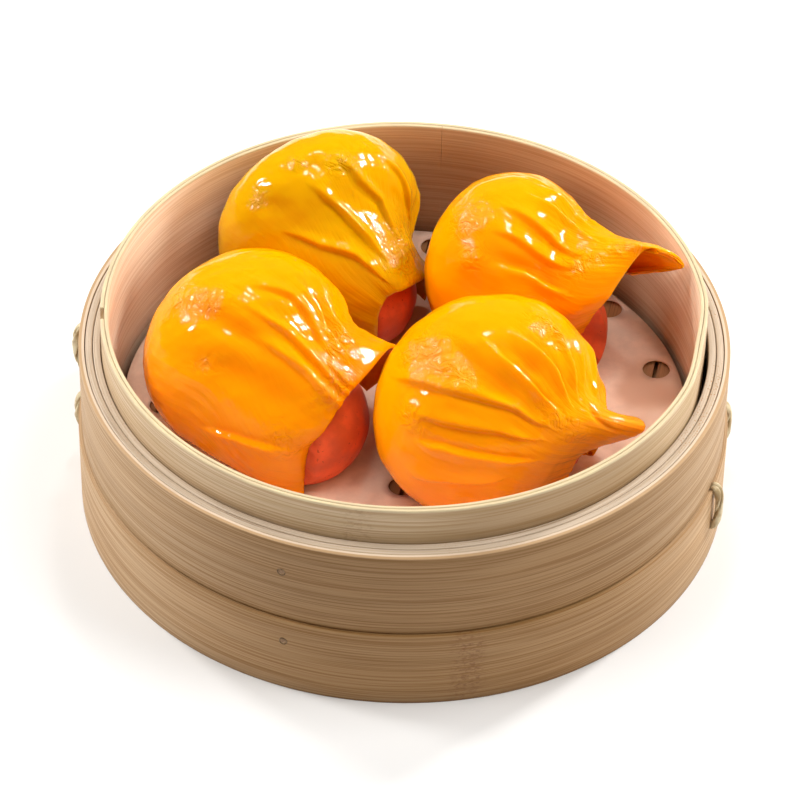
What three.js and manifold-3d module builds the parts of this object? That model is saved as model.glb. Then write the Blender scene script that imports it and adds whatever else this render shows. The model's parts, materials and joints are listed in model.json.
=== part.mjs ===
// A round bamboo steamer basket with four har gow: orange, pleated wrappers folded over red bellies.
// Millimetres, +Z up. The origin is on the basket's axis, on the surface that it stands on.
// +X is the right side and -Y the front side, from which the dumplings' lips are seen.

import * as THREE from 'three';
import { mergeVertices } from 'three/addons/utils/BufferGeometryUtils.js';
import Module from 'manifold-3d';

const wasm = await Module();
wasm.setup();

// ---- driving dimensions: the basket --------------------------------------------------------------

const RING_STEPS = 44; // sides of every round wall
const GAP = 0.3; // clearance between pieces that touch

const BAND_RADIUS = 90; // outside of the upper outer band: a seven-inch basket
const FOOT_RADIUS = 91; // the lower band stands slightly proud
const BAND_THICKNESS = 1.6;
const SEAM_HEIGHT = 24.8; // where the two outer bands meet
const STEP_HEIGHT = 52; // the ledge that the next basket or lid sits on
const RIM_HEIGHT = 63;
const HOOP_THICKNESS = 1.05; // each of the two layers of the inner hoop
const HOOP_RADIUS = 83.7; // outside of the inner hoop
const HOOP_BOTTOM = 13;
const FILLER_THICKNESS = 2.0; // each of the two strips wound between hoop and outer band

// the inner hoop springs inward at one place and leaves a slit beside the filler
const SLIT = { angle: -9, halfWidth: 15, depth: 1.2 };
const OUTER_LAP = { angle: 184, width: 3.4 }; // the gap at the outer hoop layer's lapped end
const INNER_LAP = { angle: 83.2, width: 0.7 };

const FLOOR_HEIGHT = 26.4; // top of the paper liner
const PAPER_THICKNESS = 0.8;
const SLAT = { width: 11, spacing: 12.2, thickness: 2.4, radius: 79.7, direction: 80 };
const BATTEN = { width: 9, thickness: 2.6, offset: 34 };
const SUPPORT_RING = { thickness: 2.6, bottom: 14 };

const LINER_RADIUS = 78.8;
const LINER_WAVE = 0.45; // the cut edge isn't quite round
const HOLE_RADIUS = 3.9;
const HOLE_CENTRE = { x: 3.2, y: 0.8 }; // the punched rings sit a little off the basket's axis
const HOLE_RINGS = [
  { radius: 34.4, count: 7, first: -95 },
  { radius: 70.5, count: 15, first: 14 },
];

const PEG = { radius: 1.3, length: 1.9 };
const PEGS = [
  { angle: -110.3, height: 41.3, face: BAND_RADIUS, band: 'upper' },
  { angle: -109.8, height: 17.2, face: FOOT_RADIUS, band: 'lower' },
];

const STITCH = { width: 3.4, thickness: 1.1, proud: 1.9 };
const STITCHES = [
  { angle: -19, bottom: 10, top: 25.5, wall: FOOT_RADIUS },
  { angle: 176, bottom: 33, top: 49, wall: BAND_RADIUS },
  { angle: 174, bottom: 7.5, top: 21.5, wall: FOOT_RADIUS },
  { angle: 6, bottom: 7.5, top: 21.5, wall: FOOT_RADIUS },
];

// ---- driving dimensions: the dumplings -----------------------------------------------------------
// A wrapper is read as a hood over the belly. s runs round it from its near edge (-1) over the crown
// (0) to its far edge (1), and t runs from the back of the dome (0) to the edge of the lip (1).
// In the dumpling's own frame +X points to the lip, +Y to the far side and the floor is z = 0.

const DOME_SHARE = 0.62; // the part of t that the round dome takes
const SKIN = 3.2; // wrapper thickness at the dome, pleats included
const LIP_SKIN = 1.2; // wrapper thickness at the edge of the lip
const FLOOR_SKIN = 1.0; // wrapper thickness where it lies on the liner
const WALL_CLEARANCE = 80.5; // no wrapper reaches past this radius below the rim

const WRAPPER_GRID = { around: 44, along: 15, insideAround: 14, insideAlong: 12 };
const HOOD_RUN = 60; // rough length of the hood from its back to its lip
const BELLY_GRID = { around: 20, up: 10 };
const BELLY_EASE = 1.5; // room between the filling and the inside of the dome

// dome: the round back of the hood. `turn` is where it ends, in radians from its back over the crown, for
//   its near and far half, and `wrap` is how far it reaches down each side, in degrees, at its back and front.
// lead: how far the dome's curve runs on into the neck, for its near and far half
// neck: five points, from the near edge to the far one, that pull the hood over the belly
// lip: nine points of the lip's edge, from the near edge to the far one
// pleats: where each groove starts on the dome and where it ends at the lip, both as s
const DUMPLINGS = [
  {
    name: 'dumpling_1',
    place: { x: -42.6, y: -0.9, heading: -38.3, pitch: 2.3, roll: 7.2 },
    dome: { length: 26.9, width: 31.1, height: 26.5, middle: 22.4, turn: [1.6, 2.15], wrap: [148, 142] },
    lead: [0.4, 0.35],
    neck: [[29.5, -27.5, 5], [34, -30, 25.5], [31, -5, 38], [25, 17, 32], [17, 21.5, 10]],
    lip: [[36, -19.5, 4.5], [35, -17, 8.5], [35, -14.5, 18.5], [38.5, -11, 26], [38, -1.5, 30],
      [37, 9.5, 30.5], [33.5, 23.5, 26.5], [32.5, 28.5, 16], [23.5, 23, 2]],
    pleats: [[-0.36, -0.2], [-0.15, -0.07], [-0.05, 0.01], [0.04, 0.13], [0.18, 0.22], [0.32, 0.36],
      [0.52, 0.5], [0.76, 0.66]],
    belly: { x: 23, y: -5, length: 19, width: 19, height: 17.5, middle: 14.3 },
  },
  {
    name: 'dumpling_2',
    place: { x: 24.5, y: -22.6, heading: -40.4, pitch: 0.7, roll: 6.9 },
    dome: { length: 29.9, width: 32.8, height: 30.1, middle: 22, turn: [2.3, 2.38], wrap: [108, 144] },
    lead: [0.3, 0.35],
    neck: [[19.5, 0, 1], [28, -4, 22], [34, 3.5, 34], [30, 13.5, 29], [18, 18.5, 8]],
    lip: [[22.5, 4, 1], [23.5, 7, 4.5], [25.5, 9, 11.5], [31, 13, 16], [38.5, 18, 20.5],
      [39, 20.5, 23], [32.5, 24.5, 17.5], [23, 25, 8.5], [15, 24, 0.5]],
    pleats: [[-0.62, -0.55], [-0.45, -0.42], [-0.36, -0.28], [-0.2, -0.16], [-0.04, -0.05], [0.07, 0.08],
      [0.23, 0.2], [0.36, 0.3], [0.56, 0.46], [0.78, 0.7]],
    belly: { x: 13, y: -4, length: 16, width: 20, height: 15, middle: 14 },
  },
  {
    name: 'dumpling_3',
    place: { x: 31.5, y: 37.4, heading: -23.9, pitch: -2.7, roll: 7 },
    dome: { length: 23.4, width: 27.3, height: 26.6, middle: 22.7, turn: [2.2, 2.31], wrap: [140, 140] },
    lead: [0.3, 0.35],
    neck: [[20.5, -14.5, 9], [29, -14.5, 31.5], [33.5, 0, 41], [37.5, 10.5, 36.5], [28.5, 14.5, 17]],
    lip: [[26.5, -9, 14], [30.5, -9.5, 23], [35, -8, 30.5], [37.5, -2, 35], [40, 3.5, 38],
      [44, 5, 39.5], [48.5, 7.5, 36], [50, 7.5, 31.5], [34.5, 6.5, 24]],
    pleats: [[-0.46, -0.52], [-0.31, -0.38], [-0.17, -0.24], [-0.05, -0.11], [0.07, 0.12], [0.19, 0.28],
      [0.38, 0.44], [0.6, 0.58], [0.8, 0.76]],
    belly: { x: 19, y: -12, length: 14, width: 16.5, height: 18, middle: 14 },
  },
  {
    name: 'dumpling_4',
    place: { x: -27.6, y: 55.9, heading: -54, pitch: 7, roll: -1.5 },
    dome: { length: 20.9, width: 31.6, height: 27.6, middle: 22.8, turn: [2, 2.27], wrap: [140, 140] },
    lead: [0.3, 0.35],
    neck: [[36, -18.5, 5], [35, -15.5, 28], [33, -2.5, 38], [23, 16.5, 27.5], [21, 18.5, 10]],
    lip: [[45.5, -10, 6], [42, -7, 13], [40, -6, 22], [39.5, -3.5, 27], [41, 0, 30],
      [39, 6, 28], [34, 14.5, 22.5], [27, 22.5, 15], [28.5, 20.5, 6]],
    pleats: [[-0.42, -0.14], [-0.16, 0.03], [0, 0.24], [0.19, 0.46], [0.46, 0.62], [0.74, 0.8]],
    belly: { x: 20, y: -1.8, length: 21, width: 18.5, height: 15.5, middle: 14.5 },
  },
];
const PLEAT = { depth: 1.7, width: 3.1, ridge: 1.0, start: 0.16, full: 0.42, fade: 0.86 };

// ---- materials -----------------------------------------------------------------------------------

const MATERIALS = {
  bamboo: new THREE.MeshStandardMaterial({ color: 0xd8b98a, roughness: 0.6, metalness: 0 }),
  bambooEdge: new THREE.MeshStandardMaterial({ color: 0xeadfb8, roughness: 0.65, metalness: 0 }),
  bambooInside: new THREE.MeshStandardMaterial({ color: 0xb98d5f, roughness: 0.6, metalness: 0 }),
  cane: new THREE.MeshStandardMaterial({ color: 0xcdb78c, roughness: 0.55, metalness: 0 }),
  paper: new THREE.MeshStandardMaterial({ color: 0xd2ab94, roughness: 0.85, metalness: 0 }),
  wrapper: new THREE.MeshStandardMaterial({ color: 0xf79a00, roughness: 0.25, metalness: 0 }),
  belly: new THREE.MeshStandardMaterial({ color: 0xc83a20, roughness: 0.5, metalness: 0 }),
};

// ---- helpers -------------------------------------------------------------------------------------

const radians = THREE.MathUtils.degToRad;
const { lerp, clamp, smoothstep } = THREE.MathUtils;

function polar(radius, degrees, height) {
  const angle = radians(degrees);
  return new THREE.Vector3(radius * Math.cos(angle), radius * Math.sin(angle), height);
}

function geometryFrom(points, triangles) {
  const geometry = new THREE.BufferGeometry();
  const positions = points.flatMap((point) => [point.x, point.y, point.z]);
  geometry.setAttribute('position', new THREE.Float32BufferAttribute(positions, 3));
  geometry.setIndex(triangles.flat());
  geometry.computeVertexNormals();
  return geometry;
}

function toManifold(geometry) {
  const bare = geometry.clone();
  bare.deleteAttribute('normal');
  bare.deleteAttribute('uv');
  const merged = mergeVertices(bare, 1e-4);
  const vertProperties = new Float32Array(merged.attributes.position.array);
  const triVerts = new Uint32Array(merged.index.array);
  return new wasm.Manifold(new wasm.Mesh({ numProp: 3, vertProperties, triVerts }));
}

function fromManifold(solid) {
  const mesh = solid.getMesh();
  const geometry = new THREE.BufferGeometry();
  geometry.setAttribute('position', new THREE.BufferAttribute(mesh.vertProperties, 3));
  geometry.setIndex(new THREE.BufferAttribute(mesh.triVerts, 1));
  geometry.computeVertexNormals();
  return geometry;
}

function largestPiece(solid) {
  const pieces = solid.decompose();
  return pieces.reduce((best, piece) => (piece.volume() > best.volume() ? piece : best));
}

function part(name, geometry, material) {
  const mesh = new THREE.Mesh(geometry, material);
  mesh.name = name;
  return mesh;
}

// two rows of points are joined by triangles, whatever the number of points in each
function zipRows(first, second) {
  const triangles = [];
  let i = 0;
  let j = 0;
  while (i < first.length - 1 || j < second.length - 1) {
    const nextFirst = (i + 1) / (first.length - 1);
    const nextSecond = (j + 1) / (second.length - 1);
    const stepFirst = j === second.length - 1 || (i < first.length - 1 && nextFirst <= nextSecond);
    if (stepFirst) {
      triangles.push([first[i], first[i + 1], second[j]]);
      i += 1;
    } else {
      triangles.push([first[i], second[j + 1], second[j]]);
      j += 1;
    }
  }
  return triangles;
}

// ---- round walls ---------------------------------------------------------------------------------

function slitDent(degrees) {
  const turned = ((degrees - SLIT.angle + 540) % 360) - 180;
  const share = clamp(1 - Math.abs(turned) / SLIT.halfWidth, 0, 1);
  return SLIT.depth * share * share * (3 - 2 * share);
}

// the angles of a wall's corners, which all walls share, with the two ends of a lap added
function wallAngles(lap) {
  const step = 360 / RING_STEPS;
  const all = Array.from({ length: RING_STEPS }, (_, k) => k * step);
  if (!lap) {
    return all;
  }
  const start = lap.angle + lap.width / 2;
  const end = lap.angle - lap.width / 2 + 360;
  const between = all.map((angle) => (angle < start ? angle + 360 : angle));
  const inside = between.filter((angle) => angle > start + 0.1 && angle < end - 0.1);
  return [start, ...inside.sort((a, b) => a - b), end];
}

// the distance from the axis to the flat side between two corners of a wall
function sideRadius(radius, degrees) {
  const half = 180 / RING_STEPS;
  const fromMiddle = (((degrees % (2 * half)) + 2 * half) % (2 * half)) - half;
  return (radius * Math.cos(radians(half))) / Math.cos(radians(fromMiddle));
}

// a wall of rectangular section, round the whole basket or from one end of its lap to the other
function roundWall({ outside, thickness, bottom, top, lap = null, dented = false }) {
  const angles = wallAngles(lap);
  const rows = angles.length;
  const points = [];
  for (const degrees of angles) {
    const dent = dented ? slitDent(degrees) : 0;
    const outer = sideRadius(outside, degrees) - dent;
    const inner = sideRadius(outside - thickness, degrees) - dent;
    points.push(polar(outer, degrees, bottom), polar(outer, degrees, top));
    points.push(polar(inner, degrees, top), polar(inner, degrees, bottom));
  }
  const triangles = [];
  const spans = lap ? rows - 1 : rows;
  for (let k = 0; k < spans; k += 1) {
    const here = 4 * k;
    const next = 4 * ((k + 1) % rows);
    for (let corner = 0; corner < 4; corner += 1) {
      const other = (corner + 1) % 4;
      triangles.push([here + corner, next + corner, next + other]);
      triangles.push([here + corner, next + other, here + other]);
    }
  }
  if (lap) {
    const last = 4 * (rows - 1);
    triangles.push([0, 1, 2], [0, 2, 3]);
    triangles.push([last, last + 2, last + 1], [last, last + 3, last + 2]);
  }
  return geometryFrom(points, triangles);
}

function pegAt({ angle, height, face }, radius, length) {
  const geometry = new THREE.CylinderGeometry(radius, radius, length, 12);
  geometry.rotateZ(Math.PI / 2);
  geometry.translate(face - length / 2 + GAP / 2, 0, 0);
  geometry.rotateZ(radians(angle));
  geometry.translate(0, 0, height);
  return geometry;
}

function drilledBand(name, wall) {
  const holes = PEGS.filter((peg) => peg.band === name);
  let solid = toManifold(wall);
  for (const peg of holes) {
    solid = solid.subtract(toManifold(pegAt(peg, PEG.radius + GAP, 3 * PEG.length)));
  }
  return fromManifold(solid);
}

function basketWalls() {
  const group = new THREE.Group();
  const inner = HOOP_RADIUS - HOOP_THICKNESS - GAP / 3;
  const outerBandInside = BAND_RADIUS - BAND_THICKNESS;
  const fillerOutside = outerBandInside - GAP / 1.5;
  const fillerInside = fillerOutside - FILLER_THICKNESS - GAP / 1.5;
  const upper = roundWall({
    outside: BAND_RADIUS, thickness: BAND_THICKNESS, bottom: SEAM_HEIGHT + GAP / 2, top: STEP_HEIGHT,
  });
  const lower = roundWall({
    outside: FOOT_RADIUS, thickness: FOOT_RADIUS - outerBandInside, bottom: 0, top: SEAM_HEIGHT - GAP / 2,
  });
  group.add(
    part('outer_band_upper', drilledBand('upper', upper), MATERIALS.bamboo),
    part('outer_band_lower', drilledBand('lower', lower), MATERIALS.bamboo),
    part('filler_outer', roundWall({
      outside: fillerOutside, thickness: FILLER_THICKNESS, bottom: 0, top: STEP_HEIGHT,
    }), MATERIALS.bambooEdge),
    part('filler_inner', roundWall({
      outside: fillerInside, thickness: FILLER_THICKNESS, bottom: 0, top: STEP_HEIGHT,
    }), MATERIALS.bambooEdge),
    part('hoop_outer', roundWall({
      outside: HOOP_RADIUS, thickness: HOOP_THICKNESS, bottom: HOOP_BOTTOM, top: RIM_HEIGHT,
      lap: OUTER_LAP, dented: true,
    }), MATERIALS.bamboo),
    part('hoop_inner', roundWall({
      outside: inner, thickness: HOOP_THICKNESS, bottom: HOOP_BOTTOM, top: RIM_HEIGHT,
      lap: INNER_LAP, dented: true,
    }), MATERIALS.bambooInside),
  );
  return group;
}

function pegs() {
  const group = new THREE.Group();
  PEGS.forEach((peg, index) => {
    group.add(part(`peg_${index + 1}`, pegAt(peg, PEG.radius, PEG.length - GAP), MATERIALS.cane));
  });
  return group;
}

// a strap of split cane that comes out of the wall, bulges and goes back in
function stitch({ angle, bottom, top, wall }) {
  const half = (top - bottom) / 2;
  const start = wall + GAP + STITCH.thickness / 2;
  const bulge = wall + STITCH.proud - STITCH.thickness / 2;
  const middle = (top + bottom) / 2;
  const path = new THREE.CatmullRomCurve3([
    new THREE.Vector3(start, 0, middle - half),
    new THREE.Vector3(lerp(start, bulge, 0.75), 0, middle - half * 0.5),
    new THREE.Vector3(bulge, 0, middle),
    new THREE.Vector3(lerp(start, bulge, 0.75), 0, middle + half * 0.5),
    new THREE.Vector3(start, 0, middle + half),
  ]);
  const section = new THREE.Shape();
  section.absellipse(0, 0, STITCH.width / 2, STITCH.thickness / 2, 0, 2 * Math.PI);
  const geometry = new THREE.ExtrudeGeometry(section, {
    extrudePath: path, steps: 8, curveSegments: 3, bevelEnabled: false,
  });
  geometry.rotateZ(radians(angle));
  return geometry;
}

function stitches() {
  const group = new THREE.Group();
  STITCHES.forEach((place, index) => {
    group.add(part(`stitch_${index + 1}`, stitch(place), MATERIALS.cane));
  });
  return group;
}

// ---- the floor of the basket ---------------------------------------------------------------------

// the outline of a strip across the basket, its ends cut to a circle
function stripShape(offset, width, radius) {
  const low = offset - width / 2;
  const high = offset + width / 2;
  const shape = new THREE.Shape();
  const endSteps = 4;
  for (const side of [1, -1]) {
    for (let k = 0; k <= endSteps; k += 1) {
      const across = side > 0 ? lerp(low, high, k / endSteps) : lerp(high, low, k / endSteps);
      const along = side * Math.sqrt(radius * radius - across * across);
      if (side > 0 && k === 0) {
        shape.moveTo(along, across);
      } else {
        shape.lineTo(along, across);
      }
    }
  }
  shape.closePath();
  return shape;
}

function strip(offset, width, radius, bottom, thickness) {
  const geometry = new THREE.ExtrudeGeometry(stripShape(offset, width, radius), {
    depth: thickness, bevelEnabled: false,
  });
  geometry.translate(0, 0, bottom);
  return geometry;
}

function floorOfSlats() {
  const group = new THREE.Group();
  const slatTop = FLOOR_HEIGHT - PAPER_THICKNESS - GAP;
  const slatBottom = slatTop - SLAT.thickness;
  const supportTop = slatBottom - GAP;
  const perSide = Math.floor((SLAT.radius - SLAT.width / 2) / SLAT.spacing);
  for (let k = -perSide; k <= perSide; k += 1) {
    const geometry = strip(k * SLAT.spacing, SLAT.width, SLAT.radius, slatBottom, SLAT.thickness);
    const label = String(k + perSide + 1).padStart(2, '0');
    const slat = part(`slat_${label}`, geometry, MATERIALS.bambooInside);
    slat.rotation.z = radians(SLAT.direction);
    group.add(slat);
  }
  const ringInside = SLAT.radius - SUPPORT_RING.thickness;
  group.add(part('support_ring', roundWall({
    outside: SLAT.radius, thickness: SUPPORT_RING.thickness, bottom: SUPPORT_RING.bottom, top: supportTop,
  }), MATERIALS.bambooInside));
  [-1, 1].forEach((side, index) => {
    const bottom = supportTop - BATTEN.thickness;
    const radius = ringInside - GAP;
    const geometry = strip(side * BATTEN.offset, BATTEN.width, radius, bottom, BATTEN.thickness);
    const batten = part(`batten_${index + 1}`, geometry, MATERIALS.bambooInside);
    batten.rotation.z = radians(SLAT.direction + 90);
    group.add(batten);
  });
  return group;
}

function paperLiner() {
  const outline = new THREE.Shape();
  const steps = 48;
  for (let k = 0; k < steps; k += 1) {
    const angle = (2 * Math.PI * k) / steps;
    const wave = LINER_WAVE * (Math.sin(3 * angle + 1) + 0.6 * Math.sin(7 * angle));
    const radius = LINER_RADIUS + wave;
    if (k === 0) {
      outline.moveTo(radius * Math.cos(angle), radius * Math.sin(angle));
    } else {
      outline.lineTo(radius * Math.cos(angle), radius * Math.sin(angle));
    }
  }
  outline.closePath();
  for (const ring of HOLE_RINGS) {
    for (let k = 0; k < ring.count; k += 1) {
      const centre = polar(ring.radius, ring.first + (360 * k) / ring.count, 0);
      const hole = new THREE.Path();
      hole.absarc(centre.x + HOLE_CENTRE.x, centre.y + HOLE_CENTRE.y, HOLE_RADIUS, 0, 2 * Math.PI, true);
      outline.holes.push(hole);
    }
  }
  const geometry = new THREE.ExtrudeGeometry(outline, {
    depth: PAPER_THICKNESS, curveSegments: 4, bevelEnabled: false,
  });
  geometry.translate(0, 0, FLOOR_HEIGHT - PAPER_THICKNESS);
  return part('paper_liner', geometry, MATERIALS.paper);
}

// ---- dumplings -----------------------------------------------------------------------------------

function cubic(a, b, c, d, v) {
  const u = 1 - v;
  return u * u * u * a + 3 * u * u * v * b + 3 * u * v * v * c + v * v * v * d;
}

// the wrapper's thickness at t
function skinAt(t) {
  return lerp(SKIN, LIP_SKIN, smoothstep(t, 0.5, 0.95));
}

// a smooth curve through `points` at s, straight on past its ends at -1 and 1
function curveAt(points, s) {
  const spans = points.length - 1;
  const place = ((clamp(s, -1, 1) + 1) / 2) * spans;
  const k = Math.min(Math.floor(place), spans - 1);
  const f = place - k;
  const past = ((s - clamp(s, -1, 1)) * spans) / 2;
  return new THREE.Vector3(...[0, 1, 2].map((axis) => {
    const b = points[k][axis];
    const c = points[k + 1][axis];
    const a = k > 0 ? points[k - 1][axis] : 2 * b - c;
    const d = k < spans - 1 ? points[k + 2][axis] : 2 * c - b;
    const curve = 2 * b + (c - a) * f + (2 * a - 5 * b + 4 * c - d) * f * f
      + (3 * b - a - 3 * c + d) * f * f * f;
    return curve / 2 + past * (c - b);
  }));
}

// the smooth hood, before pleats: the dome, and from its end a neck that leads on to the lip's edge
function hoodPoint({ dome, lead, neck, lip }, s, t) {
  const turn = Math.min(t / DOME_SHARE, 1) * lerp(...dome.turn, smoothstep(s, -0.9, 0.1));
  const round = s * radians(lerp(...dome.wrap, smoothstep(t, 0.2, 0.55)));
  const scale = new THREE.Vector3(dome.length, dome.width * Math.sin(round), dome.height * Math.cos(round));
  const point = new THREE.Vector3(-Math.cos(turn), Math.sin(turn), Math.sin(turn)).multiply(scale);
  point.z += dome.middle;
  if (t <= DOME_SHARE) {
    return point;
  }
  const onward = new THREE.Vector3(Math.sin(turn), Math.cos(turn), Math.cos(turn)).multiply(scale);
  const led = point.clone().addScaledVector(onward, lerp(...lead, smoothstep(s, -0.7, 0.2)));
  const pulled = curveAt(neck, s);
  const edge = curveAt(lip, s);
  const v = (t - DOME_SHARE) / (1 - DOME_SHARE);
  return new THREE.Vector3(
    cubic(point.x, led.x, pulled.x, edge.x, v),
    cubic(point.y, led.y, pulled.y, edge.y, v),
    cubic(point.z, led.z, pulled.z, edge.z, v),
  );
}

// the hood moved along its own normal, out (+) or in (-)
function offsetPoint(dumpling, s, t, offset) {
  const step = 0.004;
  const around = hoodPoint(dumpling, s + step, t).sub(hoodPoint(dumpling, s - step, t));
  const early = Math.max(t, 2 * step);
  const ahead = hoodPoint(dumpling, s, early + step).sub(hoodPoint(dumpling, s, early - step));
  const normal = t > 0 ? ahead.cross(around).normalize() : new THREE.Vector3(-1, 0, 0);
  return hoodPoint(dumpling, s, t).addScaledVector(normal, offset);
}

// the pleats' relief in mm: a groove with a fuller ridge on one side of it
function pleatRelief({ dome, pleats }, s, t) {
  const grown = smoothstep(t, PLEAT.start, PLEAT.full);
  const faded = 1 - 0.75 * smoothstep(t, PLEAT.fade - 0.2, 1);
  const along = clamp((t - 0.5) / 0.4, -0.6, 1);
  const girth = radians(dome.wrap[1]) * dome.width * (1 - 0.35 * smoothstep(t, 0.6, 0.9));
  let relief = 0;
  for (const [start, end] of pleats) {
    const away = ((s - lerp(start, end, along)) * girth) / PLEAT.width;
    relief -= PLEAT.depth * Math.exp(-away * away);
    relief += PLEAT.ridge * Math.exp(-((away - 1.3) ** 2) / 1.6);
  }
  return relief * grown * faded;
}

// from the dumpling's own frame to the basket's, kept above the liner and inside the hoop
function placeInBasket(dumpling, point, clearance) {
  const { x, y, heading, pitch, roll } = dumpling.place;
  const placed = point.clone();
  placed.applyAxisAngle(new THREE.Vector3(0, 1, 0), radians(pitch));
  placed.applyAxisAngle(new THREE.Vector3(1, 0, 0), radians(roll));
  placed.applyAxisAngle(new THREE.Vector3(0, 0, 1), radians(heading));
  placed.add(new THREE.Vector3(x, y, FLOOR_HEIGHT));
  placed.z = Math.max(placed.z, FLOOR_HEIGHT + GAP + clearance);
  const reach = Math.hypot(placed.x, placed.y);
  const limit = WALL_CLEARANCE - clearance;
  if (reach > limit) {
    placed.x *= limit / reach;
    placed.y *= limit / reach;
  }
  return placed;
}

function outsidePoint(dumpling, s, t, grow) {
  const point = offsetPoint(dumpling, s, t, pleatRelief(dumpling, s, t) + grow);
  return placeInBasket(dumpling, point, -grow);
}

function insidePoint(dumpling, s, t, grow) {
  const point = offsetPoint(dumpling, s, t, -skinAt(t) - grow);
  return placeInBasket(dumpling, point, FLOOR_SKIN + grow);
}

// a closed shell between the pleated outside and the smooth inside; `grow` thickens it all round
function wrapperShell(dumpling, grow = 0) {
  const points = [];
  const triangles = [];
  const grid = (around, along, pointAt) => {
    const pole = points.length;
    points.push(pointAt(0, 0));
    const index = (i, j) => (j === 0 ? pole : pole + 1 + (j - 1) * (around + 1) + i);
    for (let j = 1; j <= along; j += 1) {
      for (let i = 0; i <= around; i += 1) {
        points.push(pointAt((2 * i) / around - 1, j / along));
      }
    }
    return index;
  };
  const edge = 1 + grow / HOOD_RUN;
  const outGrid = WRAPPER_GRID;
  const out = grid(outGrid.around, outGrid.along, (s, t) => outsidePoint(dumpling, s * edge, t * edge, grow));
  const inside = grid(outGrid.insideAround, outGrid.insideAlong,
    (s, t) => insidePoint(dumpling, s * edge, t * edge, grow));
  const cover = (index, around, along, outward) => {
    for (let j = 0; j < along; j += 1) {
      for (let i = 0; i < around; i += 1) {
        const quad = [index(i, j), index(i + 1, j), index(i + 1, j + 1), index(i, j + 1)];
        const faces = j === 0 ? [[quad[0], quad[2], quad[3]]]
          : [[quad[0], quad[1], quad[2]], [quad[0], quad[2], quad[3]]];
        faces.forEach((face) => triangles.push(outward ? face : face.reverse()));
      }
    }
  };
  cover(out, outGrid.around, outGrid.along, false);
  cover(inside, outGrid.insideAround, outGrid.insideAlong, true);
  const row = (count, pick) => Array.from({ length: count + 1 }, (_, k) => pick(k));
  const sides = [
    [row(outGrid.along, (j) => out(0, j)), row(outGrid.insideAlong, (j) => inside(0, j))],
    [row(outGrid.along, (j) => out(outGrid.around, outGrid.along - j)),
      row(outGrid.insideAlong, (j) => inside(outGrid.insideAround, outGrid.insideAlong - j))],
    [row(outGrid.around, (i) => out(i, outGrid.along)),
      row(outGrid.insideAround, (i) => inside(i, outGrid.insideAlong))],
  ];
  sides.forEach(([outer, inner]) => triangles.push(...zipRows(inner, outer)));
  return geometryFrom(points, triangles);
}

// distance from `centre` to an ellipsoid's surface in a direction
function reachOf(ellipsoid, centre, direction) {
  const scale = new THREE.Vector3(1 / ellipsoid.length, 1 / ellipsoid.width, 1 / ellipsoid.height);
  const middle = new THREE.Vector3(ellipsoid.x, ellipsoid.y, ellipsoid.middle);
  const from = centre.clone().sub(middle).multiply(scale);
  const way = direction.clone().multiply(scale);
  const a = way.lengthSq();
  const b = from.dot(way);
  const c = from.lengthSq() - 1;
  return (-b + Math.sqrt(b * b - a * c)) / a;
}

// the belly: the round filling inside the dome, blown out to the bulge that shows under the lip,
// and held back by the wrapper where that is in the way
function bellyForm(dumpling, wrapper) {
  const { dome, belly } = dumpling;
  const inset = SKIN + BELLY_EASE;
  const filling = {
    x: 0, y: 0, middle: dome.middle,
    length: dome.length - inset, width: dome.width - inset, height: dome.height - inset,
  };
  const centre = new THREE.Vector3(belly.x * 0.5, belly.y * 0.5, (belly.middle + dome.middle) / 2);
  const heart = placeInBasket(dumpling, centre, 0);
  const caster = new THREE.Raycaster();
  const { around, up } = BELLY_GRID;
  const points = [];
  const push = (azimuth, height) => {
    const flat = Math.cos(height);
    const direction = new THREE.Vector3(flat * Math.cos(azimuth), flat * Math.sin(azimuth), Math.sin(height));
    const reach = Math.max(reachOf(filling, centre, direction), reachOf(belly, centre, direction));
    const point = placeInBasket(dumpling, centre.clone().addScaledVector(direction, reach), 0);
    const ray = point.clone().sub(heart);
    caster.set(heart, ray.clone().normalize());
    const [hit] = caster.intersectObject(wrapper);
    const free = hit ? Math.min(1, (hit.distance - BELLY_EASE / 2) / ray.length()) : 1;
    points.push(heart.clone().addScaledVector(ray, free));
  };
  push(0, -Math.PI / 2);
  for (let j = 1; j < up; j += 1) {
    for (let i = 0; i < around; i += 1) {
      push((2 * Math.PI * i) / around, -Math.PI / 2 + (Math.PI * j) / up);
    }
  }
  push(0, Math.PI / 2);
  const at = (i, j) => 1 + (j - 1) * around + (i % around);
  const top = points.length - 1;
  const triangles = [];
  for (let i = 0; i < around; i += 1) {
    triangles.push([0, at(i + 1, 1), at(i, 1)]);
    triangles.push([top, at(i, up - 1), at(i + 1, up - 1)]);
    for (let j = 1; j < up - 1; j += 1) {
      triangles.push([at(i, j), at(i + 1, j), at(i + 1, j + 1)]);
      triangles.push([at(i, j), at(i + 1, j + 1), at(i, j + 1)]);
    }
  }
  return geometryFrom(points, triangles);
}

function dumplings() {
  const group = new THREE.Group();
  for (const dumpling of DUMPLINGS) {
    const room = wrapperShell(dumpling, GAP);
    const shell = new THREE.Mesh(room, new THREE.MeshBasicMaterial({ side: THREE.DoubleSide }));
    const belly = largestPiece(toManifold(bellyForm(dumpling, shell)).subtract(toManifold(room)));
    group.add(
      part(`${dumpling.name}_wrapper`, wrapperShell(dumpling), MATERIALS.wrapper),
      part(`${dumpling.name}_belly`, fromManifold(belly), MATERIALS.belly),
    );
  }
  return group;
}

// ---- the whole steamer ---------------------------------------------------------------------------

const steamer = new THREE.Group();
steamer.add(basketWalls(), pegs(), stitches(), floorOfSlats(), paperLiner(), dumplings());

export default steamer;
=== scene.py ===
import json
import math

import bpy
import numpy as np
from bpy.props import FloatProperty, FloatVectorProperty, PointerProperty
from bpy.types import Operator, Panel, PropertyGroup
from mathutils import Matrix, Vector, geometry
from mathutils.bvhtree import BVHTree

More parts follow.
